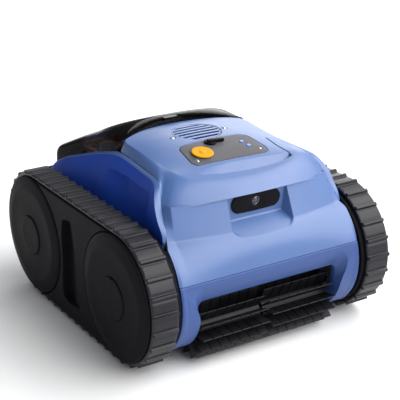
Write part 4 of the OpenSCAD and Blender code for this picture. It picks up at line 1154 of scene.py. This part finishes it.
# the other CAD parts keep their shapes and get softened edges and real finishes

# material, slot and edge width in millimetres; a pair has one line, under its common name
kept = {
    "base_tub": (tubBlue, "tub_plastic", 0.6),
    "bottom_plate": (blackPlastic, "black_plastic", 0.6),
    "rear_shell": (frameBlueWithShade, "frame_blue", 0.8),
    "filter_bay": (tubBlue, "tub_plastic", 0.5),
    "motor_box": (blackPlastic, "black_plastic", 0.8),
    "motor_box_cover": (blackPlastic, "black_plastic", 0.8),
    "motor_box_seal": (sealRubber, "seal_rubber", 0.2),
    "battery_pack": (cellWrap, "cell_wrap", 0.8),
    "circuit_board": (boardGreen, "board_green", 0.3),
    "pump_motor": (steel, "steel", 0.6),
    "pump_housing": (blackPlastic, "black_plastic", 0.5),
    "charge_socket": (blackPlastic, "black_plastic", 0.4),
    "drive_motor": (steel, "steel", 0.6),
    "wheel_axles": (steel, "steel", 0.4),
    "axle_bushes": (naturalNylon, "natural_nylon", 0.3),
    "roller_axle": (steel, "steel", 0.4),
    "lid_hinge_pin": (steel, "steel", 0.3),
    "basket_frame": (basketOrange, "basket_orange", 0.8),
    "basket_mesh": (naturalNylon, "natural_nylon", 0.1),
    "drive_gear": (naturalNylon, "natural_nylon", 0),
    "motor_pinion": (brass, "brass_gear", 0),
    "roller_core": (blackPlastic, "black_plastic", 0.5),
    "roller_gear": (naturalNylon, "natural_nylon", 0),
    "impeller": (naturalNylon, "natural_nylon", 0.4),
    "lid_latch": (glossBlack, "black_plastic", 0.8),
    "inlet_flap": (sealRubber, "seal_rubber", 0.3)}

for part, (material, slotName, bevel) in kept.items():
    nodes = [part] if part in frame["nodes"] else [part + "_" + label for label in sides]
    for node in nodes:
        finishedCopy(node, material, bevel)
print("kept parts finished")


# floor, light and camera

studio = {"floor": 30.0, "aim": (0.0164, -0.0014, 0.1596), "azimuth": 32.4, "elevation": 21.2,
          "distance": 1.8165, "lens": 104.02, "sunFrom": (0.50, -0.60, 0.68), "sunPower": 3.3,
          "sunAngle": 62}


def addFloor():
    # a wide pale plane just under the tracks
    mesh = bpy.data.meshes.new("studio_floor")
    f = studio["floor"]
    mesh.from_pydata([(-f, -f, 0), (f, -f, 0), (f, f, 0), (-f, f, 0)], [], [(0, 1, 2, 3)])
    floor = bpy.data.objects.new("studio_floor", mesh)
    bpy.context.scene.collection.objects.link(floor)
    m, tree, shader, where = newMaterial("paleFloor")
    tree.links.new(ramp(tree, noiseOn(tree, where, 3, 2), (0.93, 0.93, 0.93), (0.95, 0.95, 0.95)),
                   shader.inputs["Base Color"])
    shader.inputs["Roughness"].default_value = 0.9
    shader.inputs["Specular IOR Level"].default_value = 0.1
    mesh.materials.append(m)
    floor.location.z = -0.0006


def addLight(name, place, target, size, power):
    # a soft rectangular lamp that looks at a target
    data = bpy.data.lights.new(name, "AREA")
    data.shape, data.size, data.size_y = "RECTANGLE", size[0], size[1]
    data.energy = power
    lamp = bpy.data.objects.new(name, data)
    bpy.context.scene.collection.objects.link(lamp)
    lamp.location = place
    lamp.visible_camera = False
    lamp.rotation_euler = (Vector(target) - Vector(place)).to_track_quat("-Z", "Y").to_euler()


def addSun():
    # one broad, even key light from the right front, as wide as a large softbox
    data = bpy.data.lights.new("keyLight", "SUN")
    data.energy, data.angle = studio["sunPower"], math.radians(studio["sunAngle"])
    lamp = bpy.data.objects.new("keyLight", data)
    bpy.context.scene.collection.objects.link(lamp)
    lamp.rotation_euler = Vector(studio["sunFrom"]).to_track_quat("Z", "Y").to_euler()


def addCamera():
    # stands back from the aim point along its line of sight, turned by azimuth and elevation
    a, e = math.radians(studio["azimuth"]), math.radians(studio["elevation"])
    ahead = Vector((math.sin(a) * math.cos(e), math.cos(a) * math.cos(e), -math.sin(e)))
    data = bpy.data.cameras.new("studioCamera")
    data.lens, data.sensor_width = studio["lens"], 36
    data.clip_end = 100
    camera = bpy.data.objects.new("studioCamera", data)
    bpy.context.scene.collection.objects.link(camera)
    camera.location = Vector(studio["aim"]) - ahead * studio["distance"]
    camera.rotation_euler = ahead.to_track_quat("-Z", "Y").to_euler()
    bpy.context.scene.camera = camera


def addWorld():
    # a soft room: bright towards the right and the front, dim behind the left side
    world = bpy.data.worlds.new("studioWorld")
    bpy.context.scene.world = world
    world.use_nodes = True
    tree = world.node_tree
    where = tree.nodes.new("ShaderNodeTexCoord")
    dot = tree.nodes.new("ShaderNodeVectorMath")
    dot.operation = "DOT_PRODUCT"
    dot.inputs[1].default_value = (0.75, -0.55, 0.2)
    tree.links.new(where.outputs["Generated"], dot.inputs[0])
    step = tree.nodes.new("ShaderNodeMapRange")
    step.interpolation_type = "SMOOTHSTEP"
    step.inputs["From Min"].default_value, step.inputs["From Max"].default_value = -0.15, 0.75
    step.inputs["To Min"].default_value, step.inputs["To Max"].default_value = 0.25, 0.9
    tree.links.new(dot.outputs["Value"], step.inputs["Value"])
    tree.links.new(step.outputs["Result"], tree.nodes["Background"].inputs["Strength"])
    tree.nodes["Background"].inputs["Color"].default_value = (0.97, 0.98, 1.0, 1)


addFloor()
addWorld()
addSun()
addLight("topRightLight", (0.85, -0.1, 1.15), (0.05, -0.1, 0.25), (0.8, 0.9), 7)
addLight("rearRightLight", (1.0, 1.05, 0.78), (0.1, 0, 0.28), (0.9, 0.9), 9)
addCamera()

print("scene ready")
